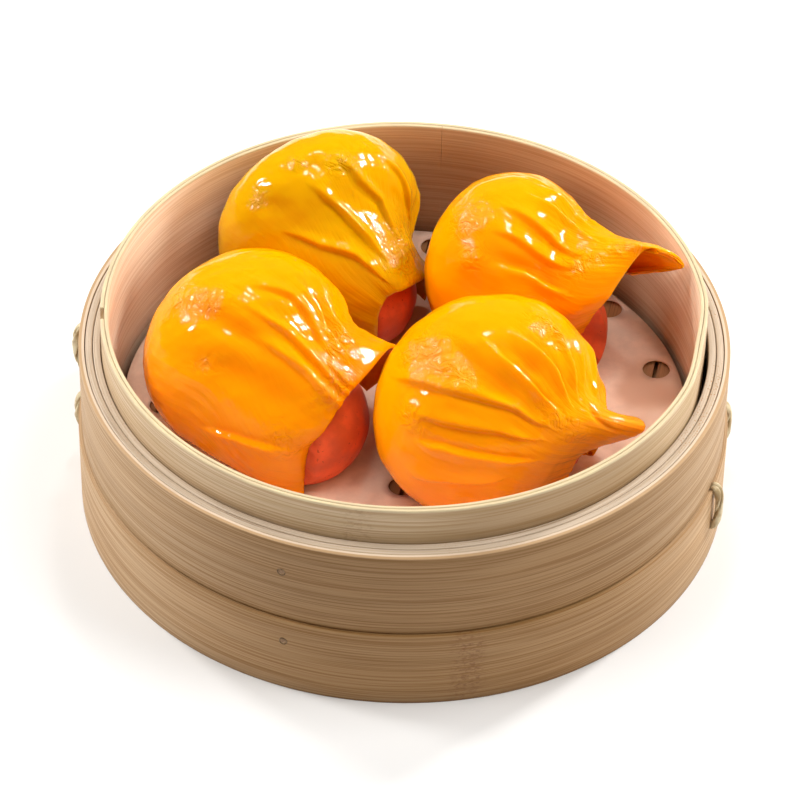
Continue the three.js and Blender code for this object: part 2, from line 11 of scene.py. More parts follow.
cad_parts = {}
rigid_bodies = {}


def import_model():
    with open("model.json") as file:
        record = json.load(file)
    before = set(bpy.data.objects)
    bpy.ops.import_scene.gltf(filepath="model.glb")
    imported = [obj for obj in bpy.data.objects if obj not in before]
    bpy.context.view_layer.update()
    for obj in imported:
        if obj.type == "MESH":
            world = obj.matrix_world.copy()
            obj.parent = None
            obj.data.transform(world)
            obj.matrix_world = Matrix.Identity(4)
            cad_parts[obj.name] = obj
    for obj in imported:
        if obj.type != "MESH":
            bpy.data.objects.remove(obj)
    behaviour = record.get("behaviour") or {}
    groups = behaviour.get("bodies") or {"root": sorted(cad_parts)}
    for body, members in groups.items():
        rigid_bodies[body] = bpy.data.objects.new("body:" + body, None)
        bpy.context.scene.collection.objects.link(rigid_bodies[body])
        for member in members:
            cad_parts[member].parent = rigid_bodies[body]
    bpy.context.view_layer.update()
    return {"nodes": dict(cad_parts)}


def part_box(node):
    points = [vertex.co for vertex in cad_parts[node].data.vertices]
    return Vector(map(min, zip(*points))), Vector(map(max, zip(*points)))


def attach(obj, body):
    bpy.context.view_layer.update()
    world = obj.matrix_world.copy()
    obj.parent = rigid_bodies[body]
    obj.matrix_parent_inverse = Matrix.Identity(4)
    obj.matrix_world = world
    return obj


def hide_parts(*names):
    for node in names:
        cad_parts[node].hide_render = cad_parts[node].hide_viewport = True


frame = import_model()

bl_info = {
    "name": "Bamboo Steamer with Har Gow",
    "version": (1, 0, 0),
    "blender": (4, 5, 0),
    "location": "View3D > Sidebar > Steamer",
    "description": "Builds a bamboo steamer basket with four pleated dumplings on a paper liner",
    "category": "Add Mesh",
}

# Shapes are worked out in millimetres and turned into metres when a mesh is made.
# The origin is on the basket's axis, on the surface that it stands on; +X is right, -Y front.
MM = 0.001


def mm_box(node):
    """The lowest and highest corner of a node, in millimetres."""
    low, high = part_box(node)
    return low / MM, high / MM


def mm(length):
    """A length of the settings in millimetres, without the settings' rounding."""
    return round(length / MM, 4)


# ---- sizes taken from the frame -----------------------------------------------------------------

UPPER_BAND = mm_box("outer_band_upper")
LOWER_BAND = mm_box("outer_band_lower")
HOOP = mm_box("hoop_outer")
HOOP_INSIDE = mm_box("hoop_inner")
FILLER_OUT = mm_box("filler_outer")
FILLER_IN = mm_box("filler_inner")
SUPPORT = mm_box("support_ring")
LINER = mm_box("paper_liner")

BAND_RADIUS = UPPER_BAND[1].x
FOOT_RADIUS = LOWER_BAND[1].x
BAND_THICKNESS = 1.6
FILLER_THICKNESS = 2.0
HOOP_THICKNESS = 1.05
SUPPORT_THICKNESS = 2.6
LAYER_GAP = 0.1
FILLER_DROP = 0.15
PAPER_THICKNESS = 0.4
PAPER_RADIUS = 78.8
BAND_CRISPNESS = 0.4
WALL_STEPS = 288
WALL_ROWS = 5
LEDGE_HEIGHT = UPPER_BAND[1].z
SEAM_HEIGHT = LOWER_BAND[1].z
RIM_HEIGHT = HOOP[1].z
FLOOR_HEIGHT = LINER[1].z

# ---- the basket's marks -------------------------------------------------------------------------

SLIT = {"angle": -9.0, "half_width": 15.0, "depth": 1.2}
OUTER_LAP = {"angle": 184.0, "width": 3.4}
INNER_LAP = {"angle": 83.2, "width": 0.03}
KNUCKLES = {"lower": (-78.3, 118.0), "upper": (38.0, 171.0), "hoop": (262.0,)}
PEGS = [
    {"node": "peg_1", "angle": -110.3, "height": 41.3, "face": BAND_RADIUS},
    {"node": "peg_2", "angle": -109.8, "height": 17.2, "face": FOOT_RADIUS},
]
STITCHES = [
    {"angle": -19.0, "bottom": 10.0, "top": 25.5, "wall": FOOT_RADIUS},
    {"angle": 176.0, "bottom": 33.0, "top": 49.0, "wall": BAND_RADIUS},
    {"angle": 174.0, "bottom": 7.5, "top": 21.5, "wall": FOOT_RADIUS},
    {"angle": 6.0, "bottom": 7.5, "top": 21.5, "wall": FOOT_RADIUS},
]
HOLE_RADIUS = 3.9
HOLE_CENTRE = (3.2, 0.8)
HOLE_RINGS = [
    {"radius": 34.4, "count": 7, "first": -95.0},
    {"radius": 70.5, "count": 15, "first": 14.0},
]
SLAT_COUNT = 13

# ---- the dumplings ------------------------------------------------------------------------------
# A wrapper is a hood over its belly. s runs round it from its near edge (-1) over the crown (0) to
# its far edge (1), and t runs from the back of the dome (0) to the edge of the lip (1).
# dome: `turn` is where the round back ends, in radians, for its near and far half, and `wrap` is
#   how far it reaches down each side, in degrees, at its back and front
# lead: how far the dome's curve runs on into the neck, for its near and far half
# neck, lip: points from the near edge to the far one that pull the neck in and that the lip follows
# folds: height in mm, the side of the steep flank (-1 near, 1 far) and the route as (s, t)
# valleys: depth and half width in mm and the route
# crinkles: where the skin is puckered, as (s, t) and its reach in mm

DOME_SHARE = 0.62
SKIN = 3.2
LIP_SKIN = 1.9
FLOOR_SKIN = 1.0
REST_GAP = 0.3
WALL_CLEARANCE = 80.5
BELLY_EASE = 1.2
BELLY_GAP = 0.3
# the colour that a groove gets is painted shade
GROOVE_DEPTH = 1.4  # where a groove has its full colour
HOOD_RUN = 85.0  # rough length of the hood from its back to its lip
LIP_RUN = 62.0  # the same for one unit of t close to the lip
ROUTE_GIRTH = 70.0  # one unit of s, where the lengths along a route are compared
FLOW_UNIT = 8.0  # one unit of the flow that the fine lines follow
HOOD_GRID = (320, 190)
LINING_GRID = (132, 84)
BELLY_GRID = (112, 64)
# fine lines along the folds: lines to 5 mm, and their share of the striation
STRIATIONS = ((0.35, 1.8), (0.8, 1.0), (1.7, 0.5))

DUMPLINGS = [
    {
        "place": {"x": -42.6, "y": -0.9, "heading": -38.3, "pitch": 2.3, "roll": 7.2},
        "dome": {"length": 26.9, "width": 31.1, "height": 26.5, "middle": 22.4,
                 "turn": (1.6, 2.15), "wrap": (148.0, 142.0)},
        "lead": (0.4, 0.35),
        "neck": [(29.5, -27.5, 5.0), (34.0, -30.0, 25.5), (31.0, -5.0, 38.0), (25.0, 17.0, 32.0),
                 (17.0, 21.5, 10.0)],
        "lip": [(36.0, -19.5, 4.5), (35.0, -17.0, 8.5), (35.0, -14.5, 18.5), (38.5, -11.0, 26.0),
                (38.0, -1.5, 30.0), (37.0, 9.5, 30.5), (33.5, 23.5, 26.5), (32.5, 28.5, 16.0),
                (23.5, 23.0, 2.0)],
        "folds": [
            (1.05, -1, [(0.0, 0.46), (0.05, 0.51), (0.11, 0.58), (0.13, 0.67), (0.11, 0.82)]),
            (1.35, -1, [(-0.06, 0.5), (-0.05, 0.6), (-0.02, 0.71), (0.01, 0.85), (0.01, 0.98)]),
            (1.2, -1, [(-0.14, 0.6), (-0.12, 0.71), (-0.08, 0.83), (-0.08, 1.0)]),
            (1.05, 1, [(0.18, 0.52), (0.2, 0.65), (0.18, 0.75), (0.21, 0.88)]),
            (1.2, 1, [(0.33, 0.48), (0.28, 0.62), (0.27, 0.72), (0.33, 0.87)]),
            (0.75, -1, [(0.06, 0.84), (0.07, 0.98)]),
            (1.05, 1, [(-0.63, 0.66), (-0.56, 0.77), (-0.49, 0.92)]),
            (1.2, 1, [(0.5, 0.5), (0.47, 0.75), (0.5, 0.95)]),
            (1.2, 1, [(0.74, 0.5), (0.67, 0.75), (0.66, 0.95)]),
        ],
        "valleys": [
            (1.6, 3.4, [(-0.17, 0.32), (-0.15, 0.44), (-0.15, 0.56), (-0.16, 0.68)]),
            (1.4, 4.4, [(-0.34, 0.4), (-0.33, 0.56), (-0.27, 0.72), (-0.2, 0.92)]),
        ],
        "crinkles": [(-0.16, 0.33, 6.0), (-0.12, 0.42, 5.0), (-0.33, 0.58, 4.0), (-0.43, 0.9, 6.0),
                     (0.2, 0.84, 6.0), (-0.04, 0.95, 7.0)],
        "belly": {"x": 23.0, "y": -5.0, "length": 19.0, "width": 19.0, "height": 17.5,
                  "middle": 14.3},
    },
    {
        "place": {"x": 24.5, "y": -22.6, "heading": -40.4, "pitch": 0.7, "roll": 6.9},
        "dome": {"length": 29.9, "width": 32.8, "height": 30.1, "middle": 22.0,
                 "turn": (2.3, 2.38), "wrap": (108.0, 144.0)},
        "lead": (0.3, 0.35),
        "neck": [(19.5, 0.0, 1.0), (28.0, -4.0, 22.0), (34.0, 3.5, 34.0), (30.0, 13.5, 29.0),
                 (18.0, 18.5, 8.0)],
        "lip": [(22.5, 4.0, 1.0), (23.5, 7.0, 4.5), (25.5, 9.0, 11.5), (31.0, 13.0, 16.0),
                (38.5, 18.0, 20.5), (39.0, 20.5, 23.0), (32.5, 24.5, 17.5), (23.0, 25.0, 8.5),
                (15.0, 24.0, 0.5)],
        "folds": [
            (1.5, 1, [(-0.03, 0.4), (-0.05, 0.5), (-0.05, 0.59), (-0.04, 0.7)]),
            (1.5, 1, [(0.07, 0.44), (0.07, 0.53), (0.09, 0.6), (0.07, 0.7)]),
            (1.5, 1, [(0.23, 0.42), (0.22, 0.52), (0.2, 0.6), (0.16, 0.7)]),
            (1.2, 1, [(0.33, 0.48), (0.31, 0.58), (0.26, 0.68)]),
            (1.2, 1, [(0.48, 0.48), (0.42, 0.62), (0.36, 0.75)]),
            (1.2, 1, [(0.7, 0.5), (0.6, 0.65), (0.55, 0.8)]),
            (1.35, -1, [(-0.43, 0.24), (-0.3, 0.38), (-0.22, 0.5), (-0.17, 0.6), (-0.17, 0.7)]),
            (1.2, -1, [(-0.43, 0.36), (-0.34, 0.5), (-0.29, 0.6), (-0.27, 0.72)]),
            (1.35, 1, [(-0.52, 0.4), (-0.44, 0.5), (-0.42, 0.6), (-0.42, 0.74)]),
            (0.9, -1, [(-0.68, 0.4), (-0.57, 0.52), (-0.54, 0.66)]),
        ],
        "valleys": [
            (1.5, 3.6, [(-0.12, 0.34), (-0.12, 0.43), (-0.13, 0.55), (-0.13, 0.62)]),
            (1.2, 3.2, [(0.01, 0.44), (0.01, 0.52), (0.02, 0.6)]),
            (0.8, 1.5, [(0.25, 0.74), (0.1, 0.84), (0.0, 0.91), (0.03, 0.98)]),
        ],
        "crinkles": [(-0.18, 0.33, 7.0), (-0.26, 0.31, 6.0), (-0.2, 0.42, 5.0), (-0.09, 0.74, 6.0),
                     (-0.18, 0.84, 4.0), (0.2, 0.5, 5.0), (-0.43, 0.4, 4.0)],
        "belly": {"x": 13.0, "y": -4.0, "length": 16.0, "width": 20.0, "height": 15.0,
                  "middle": 14.0},
    },
    {
        "place": {"x": 31.5, "y": 37.4, "heading": -23.9, "pitch": -2.7, "roll": 7.0},
        "dome": {"length": 23.4, "width": 27.3, "height": 26.6, "middle": 22.7,
                 "turn": (2.2, 2.31), "wrap": (140.0, 140.0)},
        "lead": (0.3, 0.35),
        "neck": [(20.5, -14.5, 9.0), (29.0, -14.5, 31.5), (33.5, 0.0, 41.0), (37.5, 10.5, 36.5),
                 (28.5, 14.5, 17.0)],
        "lip": [(26.5, -9.0, 14.0), (30.5, -9.5, 23.0), (35.0, -8.0, 30.5), (37.5, -2.0, 35.0),
                (40.0, 3.5, 38.0), (44.0, 5.0, 39.5), (48.5, 7.5, 36.0), (50.0, 7.5, 31.5),
                (34.5, 6.5, 24.0)],
        "folds": [
            (1.35, -1, [(-0.03, 0.42), (-0.06, 0.52), (-0.08, 0.62), (-0.11, 0.74)]),
            (1.35, -1, [(-0.16, 0.42), (-0.17, 0.52), (-0.2, 0.6), (-0.23, 0.74)]),
            (1.5, 1, [(-0.31, 0.46), (-0.31, 0.58), (-0.35, 0.66), (-0.42, 0.78)]),
            (1.2, 1, [(0.06, 0.46), (0.09, 0.58), (0.12, 0.66), (0.08, 0.78)]),
            (1.2, 1, [(0.17, 0.48), (0.23, 0.6), (0.24, 0.72)]),
            (1.05, 1, [(0.31, 0.56), (0.42, 0.66), (0.36, 0.78)]),
            (1.2, 1, [(0.57, 0.5), (0.6, 0.65), (0.56, 0.82)]),
            (1.2, 1, [(0.8, 0.5), (0.8, 0.75)]),
        ],
        "valleys": [
            (1.3, 2.4, [(-0.25, 0.4), (-0.27, 0.52), (-0.28, 0.64), (-0.34, 0.76)]),
            (0.8, 4.0, [(-0.4, 0.34), (-0.42, 0.56)]),
        ],
        "crinkles": [(-0.12, 0.33, 6.0), (-0.29, 0.4, 4.0), (0.4, 0.64, 5.0), (-0.18, 0.78, 6.0),
                     (0.1, 0.93, 7.0), (0.5, 0.93, 7.0)],
        "belly": {"x": 19.0, "y": -12.0, "length": 14.0, "width": 16.5, "height": 18.0,
                  "middle": 14.0},
    },
    {
        "place": {"x": -27.6, "y": 55.9, "heading": -54.0, "pitch": 7.0, "roll": -1.5},
        "dome": {"length": 20.9, "width": 31.6, "height": 27.6, "middle": 22.8,
                 "turn": (2.0, 2.27), "wrap": (140.0, 140.0)},
        "lead": (0.3, 0.35),
        "neck": [(36.0, -18.5, 5.0), (35.0, -15.5, 28.0), (33.0, -2.5, 38.0), (23.0, 16.5, 27.5),
                 (21.0, 18.5, 10.0)],
        "lip": [(45.5, -10.0, 6.0), (42.0, -7.0, 13.0), (40.0, -6.0, 22.0), (39.5, -3.5, 27.0),
                (41.0, 0.0, 30.0), (39.0, 6.0, 28.0), (34.0, 14.5, 22.5), (27.0, 22.5, 15.0),
                (28.5, 20.5, 6.0)],
        "folds": [
            (1.65, -1, [(-0.15, 0.5), (-0.11, 0.61), (-0.06, 0.73), (0.01, 0.86)]),
            (1.35, -1, [(-0.38, 0.58), (-0.3, 0.74), (-0.18, 0.83), (-0.12, 0.93)]),
            (1.2, -1, [(0.0, 0.42), (0.06, 0.58), (0.17, 0.67), (0.24, 0.82)]),
            (0.9, -1, [(0.19, 0.48), (0.34, 0.57), (0.5, 0.68)]),
            (1.05, 1, [(0.56, 0.5), (0.64, 0.75)]),
            (1.05, 1, [(0.78, 0.5), (0.82, 0.75)]),
        ],
        "valleys": [
            (1.2, 4.0, [(-0.34, 0.4), (-0.3, 0.5), (-0.25, 0.6)]),
            (1.0, 4.0, [(-0.1, 0.42), (-0.06, 0.52)]),
        ],
        "crinkles": [(-0.33, 0.45, 3.0), (-0.13, 0.42, 3.0), (0.02, 0.5, 4.0), (0.32, 0.84, 9.0),
                     (0.2, 0.92, 8.0)],
        "belly": {"x": 20.0, "y": -1.8, "length": 21.0, "width": 18.5, "height": 15.5,
                  "middle": 14.5},
    },
]

# ---- the camera ---------------------------------------------------------------------------------

CAMERA = {
    "lens": 180.954, "sensor": 36.0, "elevation": 40.92, "distance": 1125.28,
    "target_height": 31.17, "roll": 1.09, "shift_x": -0.0045, "shift_y": -0.0091,
}

# ---- colours that the finishes mix in -----------------------------------------------------------

KNUCKLE_BROWN = (0.2, 0.085, 0.03, 1.0)
FOOT_BROWN = (0.16, 0.075, 0.03, 1.0)
# painted shade, multiplied onto the front of the outer bands
FRONT_SHADE = (0.55, 0.43, 0.23, 1.0)
# painted shade, multiplied onto the back of the hoop's inside
BACK_SHADE = (0.48, 0.31, 0.17, 1.0)
PORE_BROWN = (0.42, 0.2, 0.075, 1.0)
HAIRLINE_BROWN = (0.2, 0.11, 0.06, 1.0)
HOOP_TAN = (0.55, 0.4, 0.25, 1.0)
HOOP_OLIVE = (0.44, 0.3, 0.13, 1.0)
# painted shade on the outer face of the inner hoop
HOOP_SHADE = (0.27, 0.15, 0.05, 1.0)
HOOP_KNUCKLE = (0.17, 0.08, 0.03, 1.0)
RIM_CREAM = (0.66, 0.54, 0.32, 1.0)
CANE_OLIVE = (0.42, 0.3, 0.15, 1.0)
CANE_BROWN = (0.3, 0.19, 0.09, 1.0)
PEG_BROWN = (0.26, 0.15, 0.08, 1.0)
PEG_HOLE = ((0.1, 0.055, 0.028, 1.0), (0.3, 0.19, 0.1, 1.0))
# the back dumpling's dough, and the deeper colour that its finish paints as shade
BACK_DOUGH = ((0.64, 0.31, 0.0, 1.0), (0.54, 0.17, 0.0, 1.0))
SPECK_RED = (0.12, 0.01, 0.006, 1.0)
DAYLIGHT = (1.0, 0.99, 0.97)
LAMPLIGHT = (1.0, 0.85, 0.65)

# ---- settings -----------------------------------------------------------------------------------


class SteamerBasketSettings(PropertyGroup):
    """Sizes and colours of the basket and its liner."""

    band_radius: FloatProperty(
        name="Band Radius", description="Outer radius of the upper band",
        default=BAND_RADIUS * MM, min=0.05, max=0.2, unit="LENGTH", precision=4)
    rim_height: FloatProperty(
        name="Rim Height", description="Height of the inner hoop's rim",
        default=RIM_HEIGHT * MM, min=0.03, max=0.2, unit="LENGTH", precision=4)
    chamfer: FloatProperty(
        name="Edge Rounding", description="Radius of the rounded edges of the bamboo strips",
        default=0.3 * MM, min=0.0, max=0.001, unit="LENGTH", precision=5)
    unevenness: FloatProperty(
        name="Unevenness", description="How far a strip's cut edge wanders up and down",
        default=0.14 * MM, min=0.0, max=0.001, unit="LENGTH", precision=5)
    outside_colour: FloatVectorProperty(
        name="Outside", description="Planed bamboo of the outer bands", subtype="COLOR",
        size=4, min=0.0, max=1.0, default=(0.43, 0.275, 0.145, 1.0))
    ledge_colour: FloatVectorProperty(
        name="Ledge", description="Cut edges that the next basket sits on", subtype="COLOR",
        size=4, min=0.0, max=1.0, default=(0.56, 0.45, 0.34, 1.0))
    rim_colour: FloatVectorProperty(
        name="Rim", description="Cut edge of the inner hoop", subtype="COLOR",
        size=4, min=0.0, max=1.0, default=(0.54, 0.43, 0.27, 1.0))
    inside_colour: FloatVectorProperty(
        name="Inside", description="Steamed bamboo on the inside of the hoop", subtype="COLOR",
        size=4, min=0.0, max=1.0, default=(0.86, 0.68, 0.5, 1.0))
    slat_colour: FloatVectorProperty(
        name="Slats", description="Split bamboo of the floor", subtype="COLOR",
        size=4, min=0.0, max=1.0, default=(0.4, 0.2, 0.085, 1.0))
    cane_colour: FloatVectorProperty(
        name="Cane", description="Split cane of the stitches and pegs", subtype="COLOR",
        size=4, min=0.0, max=1.0, default=(0.62, 0.52, 0.33, 1.0))
    paper_colour: FloatVectorProperty(
        name="Liner", description="Greased paper under the dumplings", subtype="COLOR",
        size=4, min=0.0, max=1.0, default=(0.88, 0.67, 0.53, 1.0))


class SteamerDumplingSettings(PropertyGroup):
    """Relief and colours of the dumplings."""

    fold_soft: FloatProperty(
        name="Fold Width", description="Half width of a fold on its gentle side",
        default=2.4 * MM, min=0.0005, max=0.01, unit="LENGTH", precision=5)
    fold_steep: FloatProperty(
        name="Fold Steepness", description="Half width of a fold on its steep side",
        default=0.8 * MM, min=0.0003, max=0.01, unit="LENGTH", precision=5)
    striation: FloatProperty(
        name="Striation", description="Height of the fine lines that run along the folds",
        default=0.13 * MM, min=0.0, max=0.001, unit="LENGTH", precision=5)
    wrapper_colour: FloatVectorProperty(
        name="Wrapper", description="Dough on the crowns of the pleats", subtype="COLOR",
        size=4, min=0.0, max=1.0, default=(0.94, 0.31, 0.0, 1.0))
    # the deep colour is painted shade: the hue of the dough in its grooves and low on its sides
    wrapper_shade_colour: FloatVectorProperty(
        name="Wrapper Deep", description="Dough in the grooves and low on the sides",
        subtype="COLOR", size=4, min=0.0, max=1.0, default=(0.9, 0.19, 0.0, 1.0))
    belly_colour: FloatVectorProperty(
        name="Belly", description="Red dough that shows under the lip", subtype="COLOR",
        size=4, min=0.0, max=1.0, default=(0.72, 0.1, 0.028, 1.0))


class SteamerStageSettings(PropertyGroup):
    """Light and floor of the product shot."""

    floor_colour: FloatVectorProperty(
        name="Floor", description="Plain floor under the steamer", subtype="COLOR",
        size=4, min=0.0, max=1.0, default=(0.8, 0.8, 0.8, 1.0))
    light_scale: FloatProperty(
        name="Light", description="Strength of all lamps", subtype="FACTOR",
        default=1.0, min=0.0, max=4.0)
    room_strength: FloatProperty(
        name="Room Light", description="Strength of the even light of the room",
        subtype="FACTOR", default=0.07, min=0.0, max=4.0)


# ---- small helpers ------------------------------------------------------------------------------


def smoothstep(value, low, high):
    """0 up to low, 1 from high on and a soft step between them."""
    share = np.clip((value - low) / (high - low), 0.0, 1.0)
    return share * share * (3.0 - 2.0 * share)


def blend(a, b, share):
    """From a to b."""
    return a + (b - a) * share


def cubic(a, b, c, d, v):
    """The cubic curve from a to d that leaves towards b and arrives from c."""
    u = 1.0 - v
    return u * u * u * a + 3 * u * u * v * b + 3 * u * v * v * c + v * v * v * d


def swung(x, y, degrees):
    """Swings a point round the basket's axis."""
    turn = math.radians(degrees)
    return x * math.cos(turn) - y * math.sin(turn), x * math.sin(turn) + y * math.cos(turn)


WAVE_PEAK = 1.4  # keeps a sum of waves about within -1 and 1


def ripple(points, wavelength, seed, waves=7):
    """A smooth random field from -1 to 1 over points, from a few seeded plane waves."""
    draw = np.random.default_rng(seed)
    total = np.zeros(points.shape[:-1])
    for _ in range(waves):
        way = draw.normal(size=3)
        way *= 2 * math.pi / (wavelength * draw.uniform(0.7, 1.5) * np.linalg.norm(way))
        total += np.sin(points @ way + draw.uniform(0, 2 * math.pi))
    return total / waves ** 0.5 / WAVE_PEAK


def hum(values, wavelength, seed, waves=5):
    """The same along one line of numbers."""
    draw = np.random.default_rng(seed)
    total = np.zeros(values.shape)
    for _ in range(waves):
        way = 2 * math.pi / (wavelength * draw.uniform(0.6, 1.7))
        total += np.sin(values * way + draw.uniform(0, 2 * math.pi))
    return total / waves ** 0.5 / WAVE_PEAK


def mesh_piece(name, points, faces, material, node):
    """Makes a mesh from millimetre points, rides it on the body and lets it stand for its node."""
    mesh = bpy.data.meshes.new(name)
    mesh.from_pydata((np.asarray(points) * MM).tolist(), [], faces)
    mesh.validate()
    mesh.update()
    mesh.shade_smooth()
    mesh.materials.append(material)
    piece = bpy.data.objects.new(name, mesh)
    bpy.context.scene.collection.objects.link(piece)
    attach(piece, "root")
    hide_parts(node)
    return piece


def number_attribute(piece, name, values):
    """Stores one number for each vertex, which the piece's material reads."""
    attribute = piece.data.attributes.new(name, "FLOAT", "POINT")
    attribute.data.foreach_set("value", np.asarray(values, np.float32))


class Finish:
    """A material whose nodes are put down one by one."""

    def __init__(self, name):
        self.material = bpy.data.materials.new(name)
        self.material.use_nodes = True
        self.tree = self.material.node_tree
        self.shader = self.tree.nodes["Principled BSDF"]

    def feed(self, socket, value):
        if isinstance(value, bpy.types.NodeSocket):
            self.tree.links.new(value, socket)
        else:
            socket.default_value = value

    def node(self, kind, inputs=None, **settings):
        made = self.tree.nodes.new(kind)
        for key, value in settings.items():
            setattr(made, key, value)
        for key, value in (inputs or {}).items():
            self.feed(made.inputs[key], value)
        return made

    def math(self, operation, *values, clamp=False):
        made = self.node("ShaderNodeMath", dict(enumerate(values)), operation=operation)
        made.use_clamp = clamp
        return made.outputs[0]

    def times(self, *values, clamp=False):
        return self.math("MULTIPLY", *values, clamp=clamp)

    def mix(self, share, a, b, mode="MIX"):
        made = self.node("ShaderNodeMix", {0: share, 6: a, 7: b}, data_type="RGBA")
        made.blend_type = mode
        return made.outputs[2]

    def span(self, value, low, high, to_low=0.0, to_high=1.0):
        """A soft step from to_low, where the value is low, to to_high, where it is high."""
        inputs = {0: value, 1: low, 2: high, 3: to_low, 4: to_high}
        return self.node("ShaderNodeMapRange", inputs, interpolation_type="SMOOTHSTEP").outputs[0]

    def noise(self, vector, scale, detail=3.0, roughness=0.55, distortion=0.0):
        inputs = {"Vector": vector, "Scale": scale, "Detail": detail, "Roughness": roughness,
                  "Distortion": distortion}
        return self.node("ShaderNodeTexNoise", inputs).outputs[0]

    def place(self):
        return self.node("ShaderNodeTexCoord").outputs["Object"]

    def parts(self, vector):
        return self.node("ShaderNodeSeparateXYZ", {0: vector}).outputs

    def vector(self, x, y, z):
        return self.node("ShaderNodeCombineXYZ", {0: x, 1: y, 2: z}).outputs[0]

    def attribute(self, name):
        return self.node("ShaderNodeAttribute", attribute_name=name).outputs["Fac"]

    def bump(self, height, strength, distance):
        inputs = {"Height": height, "Strength": strength, "Distance": distance * MM}
        return self.node("ShaderNodeBump", inputs).outputs[0]

    def shade(self, **values):
        """Feeds the shader's sockets, which are named here with _ for a space."""
        for key, value in values.items():
            self.feed(self.shader.inputs[key.replace("_", " ")], value)
        return self.material


def shade_of(colour, *factors):
    """The same colour, lighter or darker by one factor, or by one for each channel."""
    factors = factors * 3 if len(factors) == 1 else factors
    return tuple(min(1.0, c * factor) for c, factor in zip(colour[:3], factors)) + (1.0,)


# ---- bamboo and cane ----------------------------------------------------------------------------


class WallGrain:
    """Fibres that run round the basket: coordinates and masks that every wall's finish shares."""

    RADIUS_SHARE = 1.7  # how much the radius counts beside the height, across the fibres

    def __init__(self, finish):
        self.finish = finish
        x, y, z = finish.parts(finish.place())
        squares = finish.math("ADD", finish.times(x, x), finish.times(y, y))
        self.radius = finish.math("SQRT", squares)
        self.height = z
        self.east = finish.math("DIVIDE", x, self.radius)
        self.north = finish.math("DIVIDE", y, self.radius)
        self.across = finish.math("MULTIPLY_ADD", self.radius, self.RADIUS_SHARE, z)

    def streaks(self, turns, width, detail=2.0, roughness=0.5, offset=0.0):
        """Noise drawn out round the basket; width is the streaks' width in mm."""
        finish = self.finish
        across = finish.math("MULTIPLY_ADD", self.across, 1.0 / (width * MM), offset)
        vector = finish.vector(
            finish.times(self.east, turns),
            finish.times(self.north, turns), across)
        return finish.noise(vector, 1.0, detail, roughness)

    def near_angle(self, degrees, half_width, soft=0.6):
        """1 near a direction from the axis, 0 away from it."""
        finish = self.finish
        turn = math.radians(degrees)
        along = finish.math("ADD", finish.times(self.east, math.cos(turn)),
                            finish.times(self.north, math.sin(turn)))
        outer = math.cos(math.radians(half_width * (1 + soft)))
        inner = math.cos(math.radians(half_width * (1 - soft)))
        return finish.span(along, outer, inner)

    def knuckle(self, angles):
        """The short, crowded dashes where a cane had a joint: how dark the mark is, 0 to 1."""
        finish = self.finish
        wobble = finish.math("MULTIPLY_ADD", self.streaks(3.0, 2.2, offset=9.0), 2.4, -1.2)
        mask = None
        for degrees in angles:
            near = self.near_angle(degrees, 2.3)
            mask = near if mask is None else finish.math("MAXIMUM", mask, near)
        mask = finish.times(mask, finish.math("ADD", 0.8, wobble), clamp=True)
        dashes = self.streaks(60.0, 0.75, detail=3.0, roughness=0.6, offset=4.0)
        return finish.times(mask, finish.span(dashes, 0.46, 0.62))


def bamboo_surface(finish, grain, colour, contrast=1.0):
    """Bamboo seen from its flat side: pale ground with long fine fibres, darker and lighter."""
    fine = grain.streaks(1.7, 0.38, detail=2.0, roughness=0.6)
    medium = grain.streaks(1.2, 1.3, detail=2.0, offset=3.0)
    broad = grain.streaks(1.4, 8.0, detail=2.0, offset=7.0)
    tone = finish.mix(finish.span(broad, 0.35, 0.68),
                      shade_of(colour, 0.93), shade_of(colour, 1.07))
    dark, light = shade_of(colour, 0.7, 0.58, 0.4), shade_of(colour, 1.24, 1.3, 1.42)
    for fibres, low, high, share, other in (
            (fine, 0.5, 0.58, 0.6, dark), (medium, 0.54, 0.7, 0.35, dark),
            (fine, 0.48, 0.4, 0.55, light)):
        mask = finish.times(finish.span(fibres, low, high), share * contrast)
        tone = finish.mix(mask, tone, other)
    return tone, fine


def band_finish(name, colour, knuckles, settings, ledge):
    """An outer band: fibred face with painted shade at the front, and a pale cut edge with a
    painted highlight on its inner side and a tan corner on top, or a dark foot.
    """
    finish = Finish(name)
    grain = WallGrain(finish)
    tone, fine = bamboo_surface(finish, grain, colour)
    # painted shade: the band's front is darkened and warmed towards the camera side
    front = finish.times(grain.near_angle(-82.0, 36.0, 0.75), 0.78)
    tone = finish.mix(front, tone, FRONT_SHADE, "MULTIPLY")
    mark = grain.knuckle(knuckles)
    tone = finish.mix(finish.times(mark, 0.75), tone, KNUCKLE_BROWN)
    if ledge:
        radius = settings.band_radius
        top = finish.span(grain.height, (LEDGE_HEIGHT - 0.5) * MM, (LEDGE_HEIGHT - 0.12) * MM)
        # painted highlight: the inner side of the cut top is painted paler than the cut edge, where
        # its rounded edge catches light
        inner = finish.span(grain.radius, radius - 0.62 * MM, radius - 1.05 * MM)
        edge = finish.mix(inner, shade_of(colour, 1.12), shade_of(settings.ledge_colour, 1.28))
        tone = finish.mix(top, tone, edge)
    else:
        foot = finish.span(grain.height, 0.9 * MM, 0.0)
        tone = finish.mix(finish.times(foot, 0.45), tone, FOOT_BROWN)
    height = finish.math("SUBTRACT", fine, finish.times(mark, 0.6))
    return finish.shade(
        Base_Color=tone, Roughness=finish.span(fine, 0.3, 0.7, 0.5, 0.68),
        Normal=finish.bump(height, 0.5, 0.12), Specular_IOR_Level=0.4)


